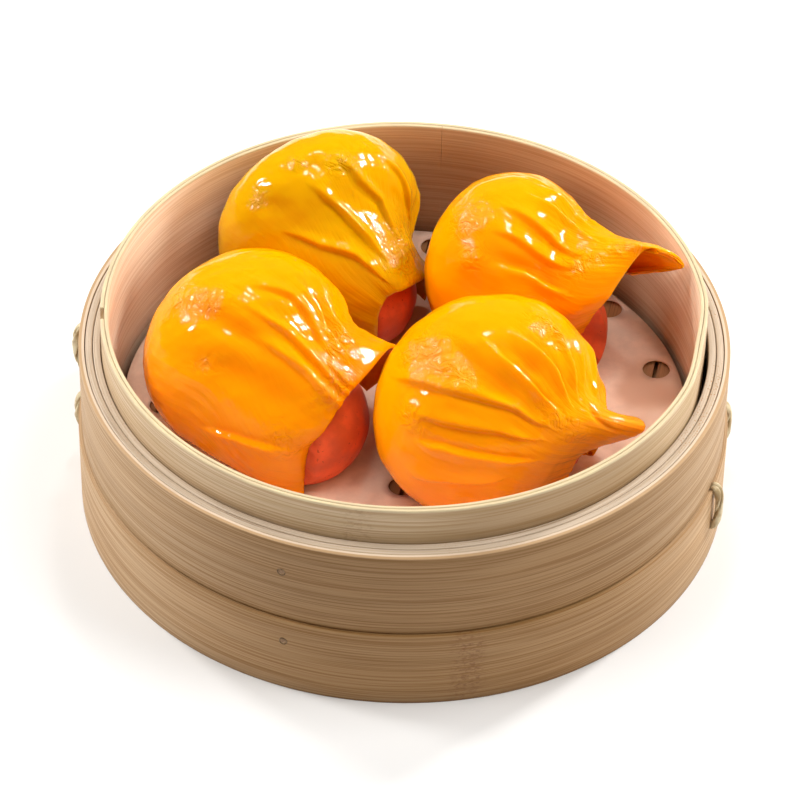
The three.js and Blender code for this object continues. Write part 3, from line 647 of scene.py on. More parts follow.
def ledge_finish(settings):
    """The cut edges of the strips wound between hoop and band: dry, with rows of pores."""
    finish = Finish("ledge_bamboo")
    grain = WallGrain(finish)
    tone, fine = bamboo_surface(finish, grain, settings.ledge_colour, 0.55)
    place = finish.place()
    pores = finish.node("ShaderNodeTexVoronoi", {"Vector": place, "Scale": 1150.0}).outputs[0]
    patchy = finish.noise(place, 90.0, 2.0)
    dots = finish.times(finish.span(pores, 0.3, 0.16), finish.span(patchy, 0.42, 0.6))
    right = grain.near_angle(0.0, 26.0)
    dots = finish.times(dots, finish.math("MULTIPLY_ADD", right, 0.65, 0.25))
    tone = finish.mix(dots, tone, PORE_BROWN)
    hairline = finish.span(grain.streaks(1.6, 0.5, detail=1.0, offset=21.0), 0.66, 0.74)
    tone = finish.mix(finish.times(hairline, 0.6), tone, HAIRLINE_BROWN)
    height = finish.math("SUBTRACT", fine, finish.times(dots, 1.2))
    return finish.shade(
        Base_Color=tone, Roughness=0.72, Normal=finish.bump(height, 0.55, 0.12),
        Specular_IOR_Level=0.3)


def hoop_finish(settings, name, outside):
    """The inner hoop: cream rim, olive tan outside with painted shade at its front right, and tan
    inside that painted shade turns warm brown towards the back.
    """
    finish = Finish(name)
    grain = WallGrain(finish)
    ground = HOOP_TAN if outside else settings.inside_colour
    tone, fine = bamboo_surface(finish, grain, ground, 0.9 if outside else 0.6)
    if outside:
        olive = finish.span(grain.streaks(1.8, 2.4, detail=1.0, offset=13.0), 0.45, 0.7)
        tone = finish.mix(finish.times(olive, 0.3), tone, HOOP_OLIVE)
        # painted shade on the front right of the hoop's outer face
        shaded = finish.times(grain.near_angle(-60.0, 20.0), 0.5)
        tone = finish.mix(shaded, tone, HOOP_SHADE)
    else:
        # painted shade: the inside is darkened and warmed towards the back
        back = grain.near_angle(75.0, 38.0, 0.7)
        tone = finish.mix(finish.times(back, 0.84), tone, BACK_SHADE, "MULTIPLY")
    mark = grain.knuckle(KNUCKLES["hoop"])
    tone = finish.mix(finish.times(mark, 0.25), tone, HOOP_KNUCKLE)
    rim = finish.span(grain.height, settings.rim_height - 0.75 * MM, settings.rim_height - 0.3 * MM)
    specks = grain.streaks(9.0, 0.35, detail=2.0, offset=17.0)
    cream = finish.mix(finish.span(specks, 0.4, 0.7), settings.rim_colour, RIM_CREAM)
    tone = finish.mix(rim, tone, cream)
    return finish.shade(
        Base_Color=tone, Roughness=finish.span(fine, 0.3, 0.7, 0.45, 0.62),
        Normal=finish.bump(fine, 0.4, 0.1), Specular_IOR_Level=0.4)


def slat_finish(name, colour, direction):
    """Split bamboo of the floor: grain along the slat, darkened by steam."""
    finish = Finish(name)
    turn = math.radians(direction)
    x, y, z = finish.parts(finish.place())
    along = finish.math("ADD", finish.times(x, math.cos(turn)),
                        finish.times(y, math.sin(turn)))
    across = finish.math("SUBTRACT", finish.times(y, math.cos(turn)),
                         finish.times(x, math.sin(turn)))
    vector = finish.vector(finish.times(along, 40.0),
                           finish.times(across, 1500.0),
                           finish.times(z, 1500.0))
    fibres = finish.noise(vector, 1.0, 3.0, 0.6)
    patches = finish.noise(finish.vector(finish.times(along, 12.0),
                                         finish.times(across, 82.0), 0.0), 1.0, 2.0)
    tone = finish.mix(finish.span(patches, 0.35, 0.65),
                      shade_of(colour, 0.75), shade_of(colour, 1.3))
    tone = finish.mix(finish.span(fibres, 0.5, 0.75), tone, shade_of(colour, 0.4))
    return finish.shade(
        Base_Color=tone, Roughness=0.62, Normal=finish.bump(fibres, 0.5, 0.15),
        Specular_IOR_Level=0.35)


def cane_finish(settings):
    """Split cane: cream and olive along the strand, brown where it turns."""
    finish = Finish("cane")
    place = finish.place()
    x, y, z = finish.parts(place)
    vector = finish.vector(finish.times(x, 1400.0), finish.times(y, 1400.0),
                           finish.times(z, 260.0))
    fibres = finish.noise(vector, 1.0, 3.0, 0.6)
    patches = finish.noise(place, 210.0, 2.0)
    tone = finish.mix(finish.span(patches, 0.4, 0.66), settings.cane_colour, CANE_OLIVE)
    tone = finish.mix(finish.span(fibres, 0.52, 0.72), tone, CANE_BROWN)
    return finish.shade(
        Base_Color=tone, Roughness=0.5, Normal=finish.bump(fibres, 0.5, 0.12),
        Specular_IOR_Level=0.45)


# ---- round walls --------------------------------------------------------------------------------


def slit_dent(degrees):
    """How far the inner hoop springs inward at an angle, in mm."""
    turned = (degrees - SLIT["angle"] + 540.0) % 360.0 - 180.0
    return SLIT["depth"] * smoothstep(1.0 - np.abs(turned) / SLIT["half_width"], 0.0, 1.0)


def strip_section(inside, outside, bottom, top, rounding):
    """The outline of a strip's section as (radius, height), its corners rounded."""
    outline = []
    centres = [(outside - rounding, top - rounding, 0.0), (inside + rounding, top - rounding, 90.0),
               (inside + rounding, bottom + rounding, 180.0),
               (outside - rounding, bottom + rounding, 270.0)]
    for index, (radius, height, first) in enumerate(centres):
        for share in (0.0, 0.5, 1.0):
            turn = math.radians(first + 90.0 * share)
            outline.append((radius + rounding * math.cos(turn), height + rounding * math.sin(turn)))
        if index % 2 == 1:
            low, high = outline[-1][1], centres[(index + 1) % 4][1]
            for k in range(1, WALL_ROWS):
                outline.append((outline[-1][0], blend(low, high, k / WALL_ROWS)))
    return outline


def round_wall(inside, outside, bottom, top, settings, seed, lap=None, dented=False, crisp=1.0):
    """Points and faces of a wall round the basket, or from one end of its lap to the other."""
    rounding = min(settings.chamfer / MM * crisp, (outside - inside) * 0.45)
    section = np.array(strip_section(inside, outside, bottom, top, rounding))
    if lap is None:
        angles = np.arange(WALL_STEPS) * 360.0 / WALL_STEPS
    else:
        half = lap["width"] / 2
        angles = np.linspace(lap["angle"] + half, lap["angle"] - half + 360.0, WALL_STEPS + 1)
    count, corners = len(angles), len(section)
    turned = np.radians(angles)
    place = 6.0 * np.stack([np.cos(turned), np.sin(turned), 0.0 * turned], axis=-1)
    turn = np.repeat(angles[:, None], corners, axis=1)
    radius = np.repeat(section[None, :, 0], count, axis=0)
    height = np.repeat(section[None, :, 1], count, axis=0)
    wander = settings.unevenness / MM * ripple(place, 3.0, seed)
    near_top = smoothstep(height, top - 1.5, top)
    height = height - np.abs(wander)[:, None] * near_top
    if dented:
        radius = radius - slit_dent(turn)
    if lap is not None:
        ragged = 0.04 * hum(section[:, 1] * 2.0, 5.0, seed + 5)
        turn[0] += ragged
        turn[-1] -= 0.7 * ragged
    turn = np.radians(turn)
    points = np.stack([radius * np.cos(turn), radius * np.sin(turn), height], axis=-1)
    faces = []
    spans = count if lap is None else count - 1
    for k in range(spans):
        here, after = k * corners, ((k + 1) % count) * corners
        for c in range(corners):
            d = (c + 1) % corners
            faces.append((here + c, after + c, after + d, here + d))
    if lap is not None:
        faces.append(tuple(range(corners)))
        faces.append(tuple((count - 1) * corners + c for c in reversed(range(corners))))
    return points.reshape(-1, 3), [tuple(reversed(face)) for face in faces]


def wall_piece(name, node, slot_name, material, sizes, settings, **options):
    points, faces = round_wall(*sizes, settings, **options)
    piece = mesh_piece(name, points, faces, material, node)
    piece.data.set_sharp_from_angle(angle=math.radians(60))
    return piece


class MESH_OT_steamer_bands(Operator):
    """Build the two outer bands of the basket"""

    bl_idname = "mesh.steamer_bands"
    bl_label = "Outer Bands"
    bl_options = {"REGISTER", "UNDO"}

    def execute(self, context):
        settings = context.scene.steamer_basket
        radius = mm(settings.band_radius)
        inside = radius - BAND_THICKNESS
        upper = band_finish("upper_band_bamboo", tuple(settings.outside_colour),
                            KNUCKLES["upper"], settings, ledge=True)
        lower = band_finish("lower_band_bamboo", shade_of(settings.outside_colour, 1.12),
                            KNUCKLES["lower"], settings, ledge=False)
        wall_piece("band_upper", "outer_band_upper", "bamboo_skin", upper,
                   (inside, radius, UPPER_BAND[0].z, LEDGE_HEIGHT), settings,
                   crisp=BAND_CRISPNESS, seed=3)
        wall_piece("band_lower", "outer_band_lower", "bamboo_skin", lower,
                   (inside, FOOT_RADIUS, 0.0, SEAM_HEIGHT), settings,
                   crisp=BAND_CRISPNESS, seed=4)
        return {"FINISHED"}


class MESH_OT_steamer_fillers(Operator):
    """Build the two strips that are wound between hoop and outer band"""

    bl_idname = "mesh.steamer_fillers"
    bl_label = "Filler Strips"
    bl_options = {"REGISTER", "UNDO"}

    def execute(self, context):
        settings = context.scene.steamer_basket
        material = ledge_finish(settings)
        for name, node, box, seed in (("filler_strip_outer", "filler_outer", FILLER_OUT, 6),
                                      ("filler_strip_inner", "filler_inner", FILLER_IN, 7)):
            outside = box[1].x
            wall_piece(name, node, "bamboo_edge", material,
                       (outside - FILLER_THICKNESS, outside, box[0].z, box[1].z - FILLER_DROP),
                       settings, seed=seed)
        return {"FINISHED"}


class MESH_OT_steamer_hoops(Operator):
    """Build the two layers of the inner hoop"""

    bl_idname = "mesh.steamer_hoops"
    bl_label = "Inner Hoop"
    bl_options = {"REGISTER", "UNDO"}

    def execute(self, context):
        settings = context.scene.steamer_basket
        outer = hoop_finish(settings, "hoop_outside_bamboo", True)
        inner = hoop_finish(settings, "hoop_inside_bamboo", False)
        outer_radius = -HOOP[0].y
        inner_radius = outer_radius - HOOP_THICKNESS - LAYER_GAP
        rim = mm(settings.rim_height)
        wall_piece("hoop_layer_outer", "hoop_outer", "bamboo_hoop", outer,
                   (outer_radius - HOOP_THICKNESS, outer_radius, HOOP[0].z, rim),
                   settings, lap=OUTER_LAP, dented=True, seed=8)
        wall_piece("hoop_layer_inner", "hoop_inner", "bamboo_hoop", inner,
                   (inner_radius - HOOP_THICKNESS, inner_radius, HOOP_INSIDE[0].z, rim),
                   settings, lap=INNER_LAP, dented=True, seed=9)
        return {"FINISHED"}


# ---- the floor ----------------------------------------------------------------------------------


def round_edges(node, width):
    """Rounds a node's long edges for the eye, without touching its mesh."""
    bevel = frame["nodes"][node].modifiers.new("round_edges", "BEVEL")
    bevel.width = width * MM
    bevel.segments = 2
    bevel.limit_method = "ANGLE"


class MESH_OT_steamer_floor(Operator):
    """Finish the slats and battens and build the ring that carries them"""

    bl_idname = "mesh.steamer_floor"
    bl_label = "Floor"
    bl_options = {"REGISTER", "UNDO"}

    def execute(self, context):
        settings = context.scene.steamer_basket
        draw = np.random.default_rng(11)
        for k in range(1, SLAT_COUNT + 1):
            node = f"slat_{k:02d}"
            colour = shade_of(settings.slat_colour, draw.uniform(0.8, 1.25))
            self.finish_node(node, slat_finish(f"slat_bamboo_{k:02d}", colour, 80.0))
        batten = slat_finish("batten_bamboo", tuple(settings.slat_colour), 170.0)
        for k in (1, 2):
            self.finish_node(f"batten_{k}", batten)
        outside = SUPPORT[1].x
        ring = Finish("support_bamboo")
        tone, fine = bamboo_surface(ring, WallGrain(ring), shade_of(settings.slat_colour, 1.3), 0.8)
        ring.shade(Base_Color=tone, Roughness=0.6, Normal=ring.bump(fine, 0.4, 0.12))
        wall_piece("support_band", "support_ring", "bamboo_slat", ring.material,
                   (outside - SUPPORT_THICKNESS, outside, SUPPORT[0].z, SUPPORT[1].z), settings,
                   seed=12)
        return {"FINISHED"}

    def finish_node(self, node, material):
        shown = frame["nodes"][node]
        shown.data.materials.clear()
        shown.data.materials.append(material)
        round_edges(node, 0.35)


def paper_reach(turn):
    """Radius of the liner's cut edge, which isn't quite round, in a direction in radians."""
    return PAPER_RADIUS + 0.45 * (np.sin(3 * turn + 1) + 0.6 * np.sin(7 * turn))


def circle(steps, radius):
    """Points round the origin, whose radius may be a number or one for each direction."""
    turn = np.arange(steps) * 2 * math.pi / steps
    radius = radius(turn) if callable(radius) else radius
    return np.stack([radius * np.cos(turn), radius * np.sin(turn)], axis=-1)


def liner_holes():
    """Centres of the punched holes."""
    centres = []
    for ring in HOLE_RINGS:
        for k in range(ring["count"]):
            turn = math.radians(ring["first"] + 360.0 * k / ring["count"])
            centres.append((HOLE_CENTRE[0] + ring["radius"] * math.cos(turn),
                            HOLE_CENTRE[1] + ring["radius"] * math.sin(turn)))
    return np.array(centres)


def paper_finish(settings):
    """Greased paper: pinkish beige, mottled, with darker wet patches."""
    finish = Finish("liner_paper")
    place = finish.place()
    mottle = finish.noise(place, 160.0, 4.0, 0.6)
    wet = finish.noise(place, 26.0, 3.0, 0.5)
    fibres = finish.noise(place, 2600.0, 2.0, 0.5)
    colour = tuple(settings.paper_colour)
    tone = finish.mix(finish.span(mottle, 0.35, 0.68),
                      shade_of(colour, 0.93), shade_of(colour, 1.08))
    tone = finish.mix(finish.span(wet, 0.5, 0.66), tone, shade_of(colour, 0.78, 0.68, 0.62))
    height = finish.math("MULTIPLY_ADD", mottle, 2.0, fibres)
    return finish.shade(
        Base_Color=tone, Roughness=finish.span(wet, 0.48, 0.64, 0.72, 0.42),
        Normal=finish.bump(height, 0.3, 0.08), Specular_IOR_Level=0.35)


class MESH_OT_steamer_liner(Operator):
    """Build the punched paper liner"""

    bl_idname = "mesh.steamer_liner"
    bl_label = "Paper Liner"
    bl_options = {"REGISTER", "UNDO"}

    GRID = 3.0
    EDGE_STEPS = 180
    HOLE_STEPS = 28
    REACH = 78.0

    def execute(self, context):
        settings = context.scene.steamer_basket
        punch = circle(self.HOLE_STEPS, HOLE_RADIUS)
        holes = [centre + punch for centre in liner_holes()]
        span = np.arange(-self.REACH, self.REACH + 0.1, self.GRID)
        spots = np.array([(x, y) for x in span for y in span
                          if math.hypot(x, y) < self.REACH - 2.0])
        for centre in liner_holes():
            spots = spots[np.hypot(*(spots - centre).T) > HOLE_RADIUS + 1.0]
        loops = [circle(self.EDGE_STEPS, paper_reach)] + holes
        flat = np.concatenate(loops + [spots])
        rings, start = [], 0
        for loop in loops:
            rings.append(list(range(start, start + len(loop))))
            start += len(loop)
        made = geometry.delaunay_2d_cdt([Vector(p) for p in flat], [], rings, 0, 1e-6)
        points = np.array([(p.x, p.y) for p in made[0]])
        faces = [face for face in made[2] if self.on_paper(points[face].mean(0), holes)]
        spread = np.concatenate([points, np.zeros((len(points), 1))], axis=1)
        edge = smoothstep(np.hypot(*points.T), 66.0, 79.0)
        rise = (0.12 * ripple(spread, 26.0, 15) * (1 - edge)
                + edge * (0.25 + 0.3 * ripple(spread, 34.0, 16)))
        height = FLOOR_HEIGHT - 0.05 + rise
        top = np.concatenate([points, height[:, None]], axis=1)
        piece = mesh_piece("liner_sheet", top, [tuple(face) for face in faces],
                           paper_finish(settings), "paper_liner")
        solid = piece.modifiers.new("thickness", "SOLIDIFY")
        solid.thickness = PAPER_THICKNESS * MM
        solid.offset = -1.0
        return {"FINISHED"}

    def on_paper(self, middle, holes):
        """True for a face of the sheet, False for one across a hole or past the cut edge."""
        if min(np.hypot(*(hole.mean(0) - middle)) for hole in holes) < HOLE_RADIUS * 0.99:
            return False
        return math.hypot(*middle) < paper_reach(math.atan2(middle[1], middle[0]))


# ---- pegs and stitches --------------------------------------------------------------------------


class MESH_OT_steamer_pegs(Operator):
    """Build the ends of the bamboo pegs that pin the bands"""

    bl_idname = "mesh.steamer_pegs"
    bl_label = "Pegs"
    bl_options = {"REGISTER", "UNDO"}

    STEPS = 28
    SCALE = 0.86
    # share of the radius and how far that ring stands out, in mm; the wood ends at the fourth
    RINGS = [(0.5, 0.02), (0.85, -0.03), (1.0, -0.14), (1.08, -0.3), (1.1, 0.06), (1.3, 0.05),
             (1.42, -0.08)]
    WOOD_RINGS = 4

    def execute(self, context):
        settings = context.scene.steamer_basket
        finish = Finish("peg_bamboo")
        grain = finish.noise(finish.place(), 1300.0, 3.0, 0.6)
        tone = finish.mix(finish.span(grain, 0.42, 0.62), PEG_BROWN,
                          shade_of(settings.outside_colour, 0.95))
        finish.shade(Base_Color=tone, Roughness=0.7, Normal=finish.bump(grain, 0.7, 0.2))
        ring_finish = Finish("peg_hole_bamboo")
        ring_grain = ring_finish.noise(ring_finish.place(), 900.0, 2.0)
        shade = ring_finish.mix(ring_finish.span(ring_grain, 0.3, 0.7), *PEG_HOLE)
        ring_finish.shade(Base_Color=shade, Roughness=0.8)
        for index, peg in enumerate(PEGS):
            self.build(peg, index, finish.material, ring_finish.material)
        return {"FINISHED"}

    def build(self, peg, index, material, ring_material):
        """A split end in a dark ring: rings of points from the middle out and down its side."""
        steps = self.STEPS
        turn = np.arange(steps) * 2 * math.pi / steps
        uneven = 1.0 + 0.05 * hum(turn * 3, 4.0, 30 + index)
        crack = 0.12 * np.exp(-((np.sin(turn + 0.8)) / 0.25) ** 2)
        points = [(peg["face"] + 0.02, 0.0, 0.0)]
        for j, (radius, depth) in enumerate(self.RINGS):
            for k in range(steps):
                reach = self.SCALE * radius * uneven[k]
                out = peg["face"] + 0.1 + depth - (crack[k] if j < self.WOOD_RINGS - 1 else 0.0)
                points.append((out, reach * math.cos(turn[k]), reach * math.sin(turn[k])))
        faces = [(0, 1 + k, 1 + (k + 1) % steps) for k in range(steps)]
        for j in range(len(self.RINGS) - 1):
            first, after = 1 + j * steps, 1 + (j + 1) * steps
            for k in range(steps):
                d = (k + 1) % steps
                faces.append((first + k, after + k, after + d, first + d))
        points = np.array(points)
        bend = (points[:, 1] ** 2) / (2 * peg["face"])
        points[:, 0] -= bend
        x, y = swung(points[:, 0], points[:, 1], peg["angle"])
        placed = np.stack([x, y, points[:, 2] + peg["height"]], axis=-1)
        piece = mesh_piece(f"peg_head_{index + 1}", placed, faces, material, peg["node"])
        piece.data.materials.append(ring_material)
        for polygon in piece.data.polygons[self.WOOD_RINGS * steps:]:
            polygon.material_index = 1


class MESH_OT_steamer_stitches(Operator):
    """Build the twisted cane stitches that hold the bands"""

    bl_idname = "mesh.steamer_stitches"
    bl_label = "Cane Stitches"
    bl_options = {"REGISTER", "UNDO"}

    STEPS = 56
    SIDES = 12
    # in mm, apart from the twist, which is in radians from the middle to an end
    SUNK = 0.5
    BULGE = 2.3
    ORBIT_OUT, ORBIT_SIDE = 0.5, 0.85
    HALF_WIDTH, HALF_THICKNESS = 1.15, 0.62
    TWIST = 2.2

    def execute(self, context):
        material = cane_finish(context.scene.steamer_basket)
        for index, stitch in enumerate(STITCHES):
            points, faces = [], []
            for strand in range(2):
                self.strand(stitch, strand, index, points, faces)
            mesh_piece(f"stitch_strand_{index + 1}", np.array(points), faces, material,
                       f"stitch_{index + 1}")
        return {"FINISHED"}

    def strand(self, stitch, strand, index, points, faces):
        """One of two flat strands that turn round each other from hole to hole."""
        base = len(points)
        middle = (stitch["top"] + stitch["bottom"]) / 2
        half = (stitch["top"] - stitch["bottom"]) / 2
        for k in range(self.STEPS + 1):
            v = 2.0 * k / self.STEPS - 1.0
            bulge = math.sqrt(max(0.0, 1.0 - abs(v) ** 2.6))
            spin = self.TWIST * v + strand * math.pi + index
            out = (stitch["wall"] - self.SUNK + self.BULGE * bulge
                   + self.ORBIT_OUT * bulge * math.cos(spin))
            centre = Vector((out, self.ORBIT_SIDE * math.sin(spin), middle + half * v * 0.97))
            tangent = Vector((-1.6 * v, 0.6 * math.cos(spin), half)).normalized()
            flat = Vector((math.sin(spin) * 0.7, -math.cos(spin), 0.0))
            flat = (flat - tangent * flat.dot(tangent)).normalized()
            thick = tangent.cross(flat)
            pinch = blend(0.72, 1.0, bulge)
            for side in range(self.SIDES):
                turn = 2 * math.pi * side / self.SIDES
                rough = 1 + 0.12 * math.sin(3 * turn + k * 0.2)
                wide = self.HALF_WIDTH * pinch * math.cos(turn)
                deep = self.HALF_THICKNESS * pinch * math.sin(turn) * rough
                spot = centre + flat * wide + thick * deep
                points.append((*swung(spot.x, spot.y, stitch["angle"]), spot.z))
        for k in range(self.STEPS):
            for side in range(self.SIDES):
                after = (side + 1) % self.SIDES
                here, there = base + k * self.SIDES, base + (k + 1) * self.SIDES
                faces.append((here + side, here + after, there + after, there + side))
        faces.append(tuple(base + side for side in reversed(range(self.SIDES))))
        last = base + self.STEPS * self.SIDES
        faces.append(tuple(last + side for side in range(self.SIDES)))


# ---- wrappers and bellies -----------------------------------------------------------------------


def curve_at(points, s):
    """A smooth curve through points at s from -1 to 1, straight on past its ends."""
    points = np.array(points)
    spans = len(points) - 1
    place = (np.clip(s, -1.0, 1.0) + 1.0) / 2.0 * spans
    k = np.minimum(place.astype(int), spans - 1)
    f = (place - k)[..., None]
    past = ((s - np.clip(s, -1.0, 1.0)) * spans / 2.0)[..., None]
    run = np.concatenate([[2 * points[0] - points[1]], points, [2 * points[-1] - points[-2]]])
    a, b, c, d = run[k], run[k + 1], run[k + 2], run[k + 3]
    curve = (2 * b + (c - a) * f + (2 * a - 5 * b + 4 * c - d) * f ** 2
             + (3 * b - a - 3 * c + d) * f ** 3)
    return curve / 2.0 + past * (c - b)


def hood_points(dumpling, s, t):
    """The smooth hood before its folds: the dome, and from its end a neck that leads to the lip."""
    dome = dumpling["dome"]
    turn = np.minimum(t / DOME_SHARE, 1.0) * blend(*dome["turn"], smoothstep(s, -0.9, 0.1))
    swing = s * np.radians(blend(*dome["wrap"], smoothstep(t, 0.2, 0.55)))
    scale = np.stack([np.full_like(swing, dome["length"]), dome["width"] * np.sin(swing),
                      dome["height"] * np.cos(swing)], axis=-1)
    sine, cosine = np.sin(turn), np.cos(turn)
    point = np.stack([-cosine, sine, sine], axis=-1) * scale
    point[..., 2] += dome["middle"]
    onward = np.stack([sine, cosine, cosine], axis=-1) * scale
    lead = blend(*dumpling["lead"], smoothstep(s, -0.7, 0.2))[..., None]
    v = np.clip((t - DOME_SHARE) / (1.0 - DOME_SHARE), 0.0, None)[..., None]
    neck, lip = curve_at(dumpling["neck"], s), curve_at(dumpling["lip"], s)
    return np.where(v > 0, cubic(point, point + lead * onward, neck, lip, v), point)


def hood_surface(dumpling, s, t):
    """Points of the hood and their outward normals."""
    step = 0.004
    around = hood_points(dumpling, s + step, t) - hood_points(dumpling, s - step, t)
    early = np.maximum(t, 2 * step)
    ahead = hood_points(dumpling, s, early + step) - hood_points(dumpling, s, early - step)
    normal = np.cross(ahead, around)
    normal /= np.maximum(np.linalg.norm(normal, axis=-1, keepdims=True), 1e-12)
    normal = np.where((t > 0)[..., None], normal, np.array([-1.0, 0.0, 0.0]))
    return hood_points(dumpling, s, t), normal


def skin_at(t):
    """Thickness of the wrapper in mm."""
    return blend(SKIN, LIP_SKIN, smoothstep(t, 0.5, 0.95))


def girth_at(dumpling, t):
    """Length in mm of one unit of s at t."""
    wide = math.radians(dumpling["dome"]["wrap"][1]) * dumpling["dome"]["width"]
    return wide * (1.0 - 0.35 * smoothstep(t, 0.6, 0.9))


def off_route(dumpling, s, t, route):
    """How far each point lies from a route, in mm and negative on its near side, and its place
    along it, 0 to 1."""
    girth = girth_at(dumpling, t)
    route = np.array(route)
    steps = np.diff(route, axis=0) * np.array([ROUTE_GIRTH, HOOD_RUN])
    lengths = np.hypot(*steps.T)
    total = lengths.sum()
    best = np.full(s.shape, 1e9)
    along = np.zeros(s.shape)
    for k, start in enumerate(route[:-1]):
        after = route[k + 1]
        x, y = (s - start[0]) * girth, (t - start[1]) * HOOD_RUN
        run_x, run_y = (after[0] - start[0]) * girth, (after[1] - start[1]) * HOOD_RUN
        share = np.clip((x * run_x + y * run_y) / (run_x ** 2 + run_y ** 2), 0.0, 1.0)
        away_x, away_y = x - share * run_x, y - share * run_y
        side = np.where(x * run_y - y * run_x < 0, -1.0, 1.0)
        away = np.hypot(away_x, away_y) * side
        nearer = np.abs(away) < np.abs(best)
        best = np.where(nearer, away, best)
        along = np.where(nearer, (lengths[:k].sum() + share * lengths[k]) / total, along)
    return best, along


def hump(away, width):
    """1 on a line, 0 far from it."""
    return np.exp(-np.clip(np.abs(away) / width, 0.0, 6.0) ** 2)


def fold_relief(dumpling, s, t, settings):
    """The folds and valleys of the pleats, in mm."""
    relief = np.zeros(s.shape)
    for height, side, route in dumpling["folds"]:
        away, along = off_route(dumpling, s, t, route)
        ends = smoothstep(along, 0.0, 0.35) * (1.0 - 0.6 * smoothstep(along, 0.8, 1.0))
        reach, edge = hump(away, settings.fold_soft / MM), hump(away, settings.fold_steep / MM)
        profile = np.where(away * side > 0, 1.7 * edge - 0.7 * reach, reach)
        relief += height * profile * ends
    for depth, width, route in dumpling["valleys"]:
        away, along = off_route(dumpling, s, t, route)
        ends = smoothstep(along, 0.0, 0.4) * (1.0 - 0.7 * smoothstep(along, 0.7, 1.0))
        relief -= depth * hump(away, width) * ends
    return relief


def pucker_at(dumpling, s, t):
    """How puckered the skin is, 0 to 1."""
    girth = girth_at(dumpling, t)
    pucker = np.zeros(s.shape)
    for spot_s, spot_t, size in dumpling["crinkles"]:
        away = np.hypot((s - spot_s) * girth, (t - spot_t) * HOOD_RUN) / size
        pucker = np.maximum(pucker, np.exp(-away ** 2))
    return pucker


def wrapper_relief(dumpling, s, t, base, settings, seed):
    """Relief of the wrapper in mm, how deep in a groove each point lies and how puckered it is."""
    relief = fold_relief(dumpling, s, t, settings)
    sunk = np.clip(-relief / GROOVE_DEPTH, 0.0, 1.0)
    pucker = pucker_at(dumpling, s, t)
    flow = s * girth_at(dumpling, t)
    for count, share in STRIATIONS:
        lines = hum((flow + 1.5 * hum(t * 9, 3.0, seed + 3)) * count, 5.0, seed + int(10 * count))
        strength = 0.5 + 0.5 * ripple(base, 16.0, seed + int(20 * count))
        relief += settings.striation / MM * share * lines * strength * smoothstep(t, 0.25, 0.5)
    # height and wavelength in mm, offset of the seed and where the unevenness shows
    for height, wavelength, offset, where in ((0.35, 24.0, 11, smoothstep(t, 0.05, 0.3)),
                                              (0.15, 8.0, 12, 1.0), (0.05, 4.2, 14, 1.0),
                                              (0.16, 2.6, 13, pucker)):
        relief += height * ripple(base, wavelength, seed + offset) * where
    return relief, sunk, pucker


def place_in_basket(dumpling, points, clearance):
    """From the dumpling's own frame to the basket's, kept above the liner and inside the hoop."""
    place = dumpling["place"]
    turn = (Matrix.Rotation(math.radians(place["heading"]), 3, "Z")
            @ Matrix.Rotation(math.radians(place["roll"]), 3, "X")
            @ Matrix.Rotation(math.radians(place["pitch"]), 3, "Y"))
    placed = points @ np.array(turn).T + np.array([place["x"], place["y"], FLOOR_HEIGHT])
    floor = FLOOR_HEIGHT + REST_GAP + clearance
    placed[..., 2] = np.maximum(placed[..., 2], floor)
    reach = np.hypot(placed[..., 0], placed[..., 1])
    limit = WALL_CLEARANCE - clearance
    squeeze = np.where(reach > limit, limit / np.maximum(reach, 1e-6), 1.0)
    placed[..., 0] *= squeeze
    placed[..., 1] *= squeeze
    return placed


def zip_rows(first, second):
    """Joins two rows of points by triangles, whatever the number of points in each."""
    faces = []
    i = j = 0
    while i < len(first) - 1 or j < len(second) - 1:
        next_first = (i + 1) / (len(first) - 1)
        next_second = (j + 1) / (len(second) - 1)
        if j == len(second) - 1 or (i < len(first) - 1 and next_first <= next_second):
            faces.append((first[i], first[i + 1], second[j]))
            i += 1
        else:
            faces.append((first[i], second[j + 1], second[j]))
            j += 1
    return faces


class HoodGrid:
    """One face of a wrapper: a pole at the back and rows of points towards the lip."""

    # above 1, rows crowd together towards the side edges and the lip
    SIDE_CROWDING = 1.12
    LIP_CROWDING = 1.2

    def __init__(self, start, around, along):
        self.start, self.around, self.along = start, around, along
        self.count = 1 + along * (around + 1)
        across = np.linspace(-1, 1, around + 1)
        ahead = np.arange(1, along + 1) / along
        finer = np.sign(across) * (1.0 - (1.0 - np.abs(across)) ** self.SIDE_CROWDING)
        s, t = np.meshgrid(finer, 1.0 - (1.0 - ahead) ** self.LIP_CROWDING)
        self.s = np.concatenate([[0.0], s.ravel()])
        self.t = np.concatenate([[0.0], t.ravel()])

    def index(self, i, j):
        return self.start if j == 0 else self.start + 1 + (j - 1) * (self.around + 1) + i

    def faces(self, outward):
        made = []
        for j in range(self.along):
            for i in range(self.around):
                face = [self.index(i, j), self.index(i, j + 1), self.index(i + 1, j + 1)]
                if j > 0:
                    face.append(self.index(i + 1, j))
                made.append(tuple(face if outward else reversed(face)))
        return made

    def border(self):
        """From the back along the near edge, round the lip and back along the far edge."""
        near = [self.index(0, j) for j in range(self.along + 1)]
        lip = [self.index(i, self.along) for i in range(1, self.around)]
        far = [self.index(self.around, j) for j in reversed(range(1, self.along + 1))]
        return near + lip + far


def rounded_edge(dumpling, s, t):
    """How far a face draws back, in mm, so that the wrapper's edge is half round."""
    half = skin_at(t) / 2.0
    to_lip = (1.0 - t) * LIP_RUN
    to_side = (1.0 - np.abs(s)) * girth_at(dumpling, t)
    inward = np.clip(1.0 - np.minimum(to_lip, to_side) / half, 0.0, 1.0)
    return half * (1.0 - np.sqrt(1.0 - 0.97 * inward ** 2))


